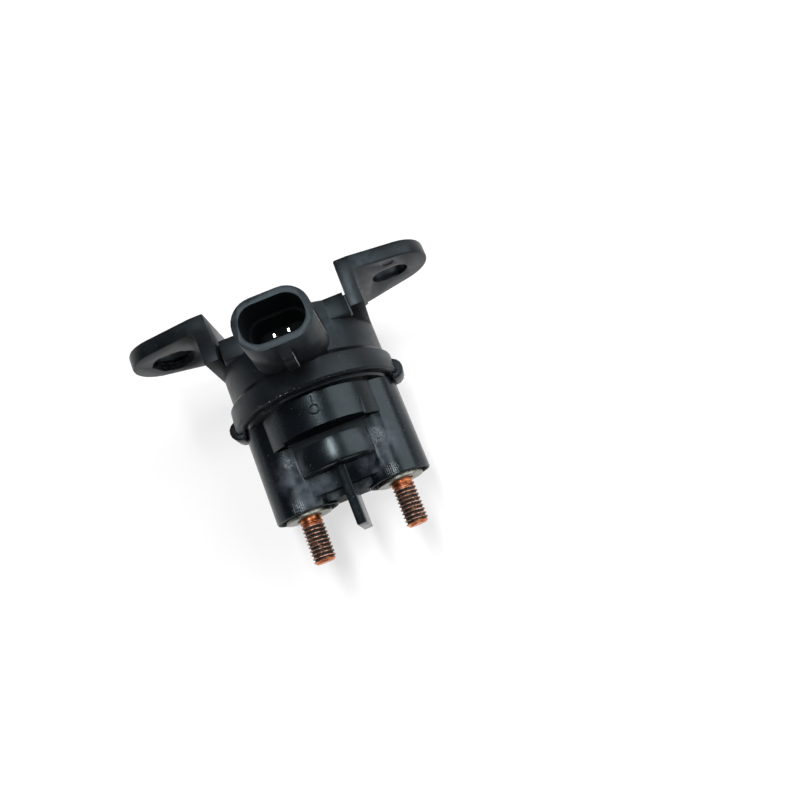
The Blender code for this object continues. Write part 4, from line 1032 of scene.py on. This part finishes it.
# Each layer starts 4 degrees later than the one before it, and ends 4 degrees sooner.
for index, (depth, radius, thickness) in enumerate(LAYERS):
    values = {
        "Centre": LEFT_HOLE + Vector((0, depth * MM, 0)),
        "Radius": radius * MM,
        "From": math.radians(196 + 4 * index),
        "Sweep": math.radians(148 - 8 * index),
        "Thickness": thickness * MM,
        "Unevenness": 1.5 * MM,
        "Plastic": cover_nylon,
    }
    ride_along(run_tree(f"torn_layer_{index + 1}", torn, TORN, values))
values = {
    "Centre": (0, FLANGE_FRONT_Y - 0.5 * MM, AXIS_Z),
    "Radius": 19.6 * MM,
    "From": math.radians(112),
    "Sweep": math.radians(40),
    "Thickness": 0.13 * MM,
    "Unevenness": 0.7 * MM,
    "Plastic": housing_nylon,
}
ride_along(run_tree("lip_flash", torn, TORN, values))

# %% [markdown]
# The floor. The relay lay on white paper, and the picture's white was burnt out while its
# faint shadow stayed. More light would do that too, but it would bleach the relay. So the
# paper glows a little, only for rays that come from the camera or by a reflection, and the
# rest of it stays a real surface that takes the shadow.

# %% White paper
GLOW_SHARE = 0.6  # How much of what the camera sees of the paper is its glow.
# To the eye: an even white with no shine at all, as rough uncoated paper has.
paper, tree, shader = material("paper, white", Base_Color=colour("FFFFFF"), Roughness=0.8)
seen = add(tree, "ShaderNodeLightPath").outputs
looked_at = add(tree, MATH, (seen["Is Camera Ray"], seen["Is Glossy Ray"]), operation="MAXIMUM")
looked_at = add(tree, MATH, (looked_at, seen["Is Transmission Ray"]), operation="MAXIMUM")
share = add(tree, MATH, (looked_at, GLOW_SHARE), operation="MULTIPLY")
glow = add(tree, "ShaderNodeEmission", {"Color": colour("FFFFFF"), "Strength": 1.0})
blend = add(tree, "ShaderNodeMixShader", (share, shader.outputs[0], glow.outputs[0]))
tree.links.new(blend.outputs[0], tree.nodes["Material Output"].inputs["Surface"])
print("paper glows by", GLOW_SHARE)

# %% [markdown]
# A sheet of that paper lies just under the relay's lowest point. From the side, the camera
# looks past its far edge into the world. A bigger sheet would still end in grey, so a low
# ring of the same paper stands far round the relay, and the picture ends in white there too.

# %% Floor and backdrop
FLOOR_HALF_WIDTH = 1.5  # In metres, as are the ring's two sizes.
BACKDROP_RADIUS = 1.4
BACKDROP_HEIGHT = 0.34
shape = bmesh.new()
bmesh.ops.create_grid(shape, x_segments=1, y_segments=1, size=FLOOR_HALF_WIDTH)
floor = in_scene("floor", mesh_from("floor", shape))
floor.location.z = FLOOR_Z - 0.2 * MM
shape = bmesh.new()
sizes = {"radius1": BACKDROP_RADIUS, "radius2": BACKDROP_RADIUS, "depth": BACKDROP_HEIGHT}
bmesh.ops.create_cone(shape, segments=64, **sizes)
backdrop = in_scene("backdrop", mesh_from("backdrop", shape))
backdrop.location.z = floor.location.z + BACKDROP_HEIGHT / 2
backdrop.data.shade_smooth()
for sheet in (floor, backdrop):
    sheet.data.materials.append(paper)
print("floor at", round(floor.location.z / MM, 2), "mm")

# %% [markdown]
# The light. One long narrow lamp hangs overhead, a little to the left and behind. It draws
# the narrow bright bands along the round chamber and the block, and it has to be narrow,
# because a broad lamp would spread them. A broad soft lamp on the right, like a window,
# lights the right shoulders and throws the faint shadow to the left. The world is a dim grey
# that keeps the shadows open.

# %% Lamps
WORLD_LIGHT = 0.1


def lamp(name, place, lean, width, depth, power):
    """A flat lamp, leant by degrees from pointing straight down, with its sizes in metres."""
    data = bpy.data.lights.new(name, "AREA")
    data.shape = "RECTANGLE"
    data.size = width
    data.size_y = depth
    data.energy = power
    obj = in_scene(name, data)
    obj.location = place
    obj.rotation_euler = (0, math.radians(lean), 0)


lamp("overhead lamp", (-0.045, 0.15, 0.67), lean=0, width=0.1, depth=0.45, power=4.2)
lamp("right window", (0.5, 0.12, 0.45), lean=48, width=0.6, depth=0.7, power=4.5)
world = bpy.data.worlds.new("studio")
bpy.context.scene.world = world
world.use_nodes = True
background = world.node_tree.nodes["Background"]
background.inputs["Color"].default_value = colour("FFFFFF")
background.inputs["Strength"].default_value = WORLD_LIGHT
bpy.context.scene.view_settings.view_transform = "Standard"
print("lamps and world ready")
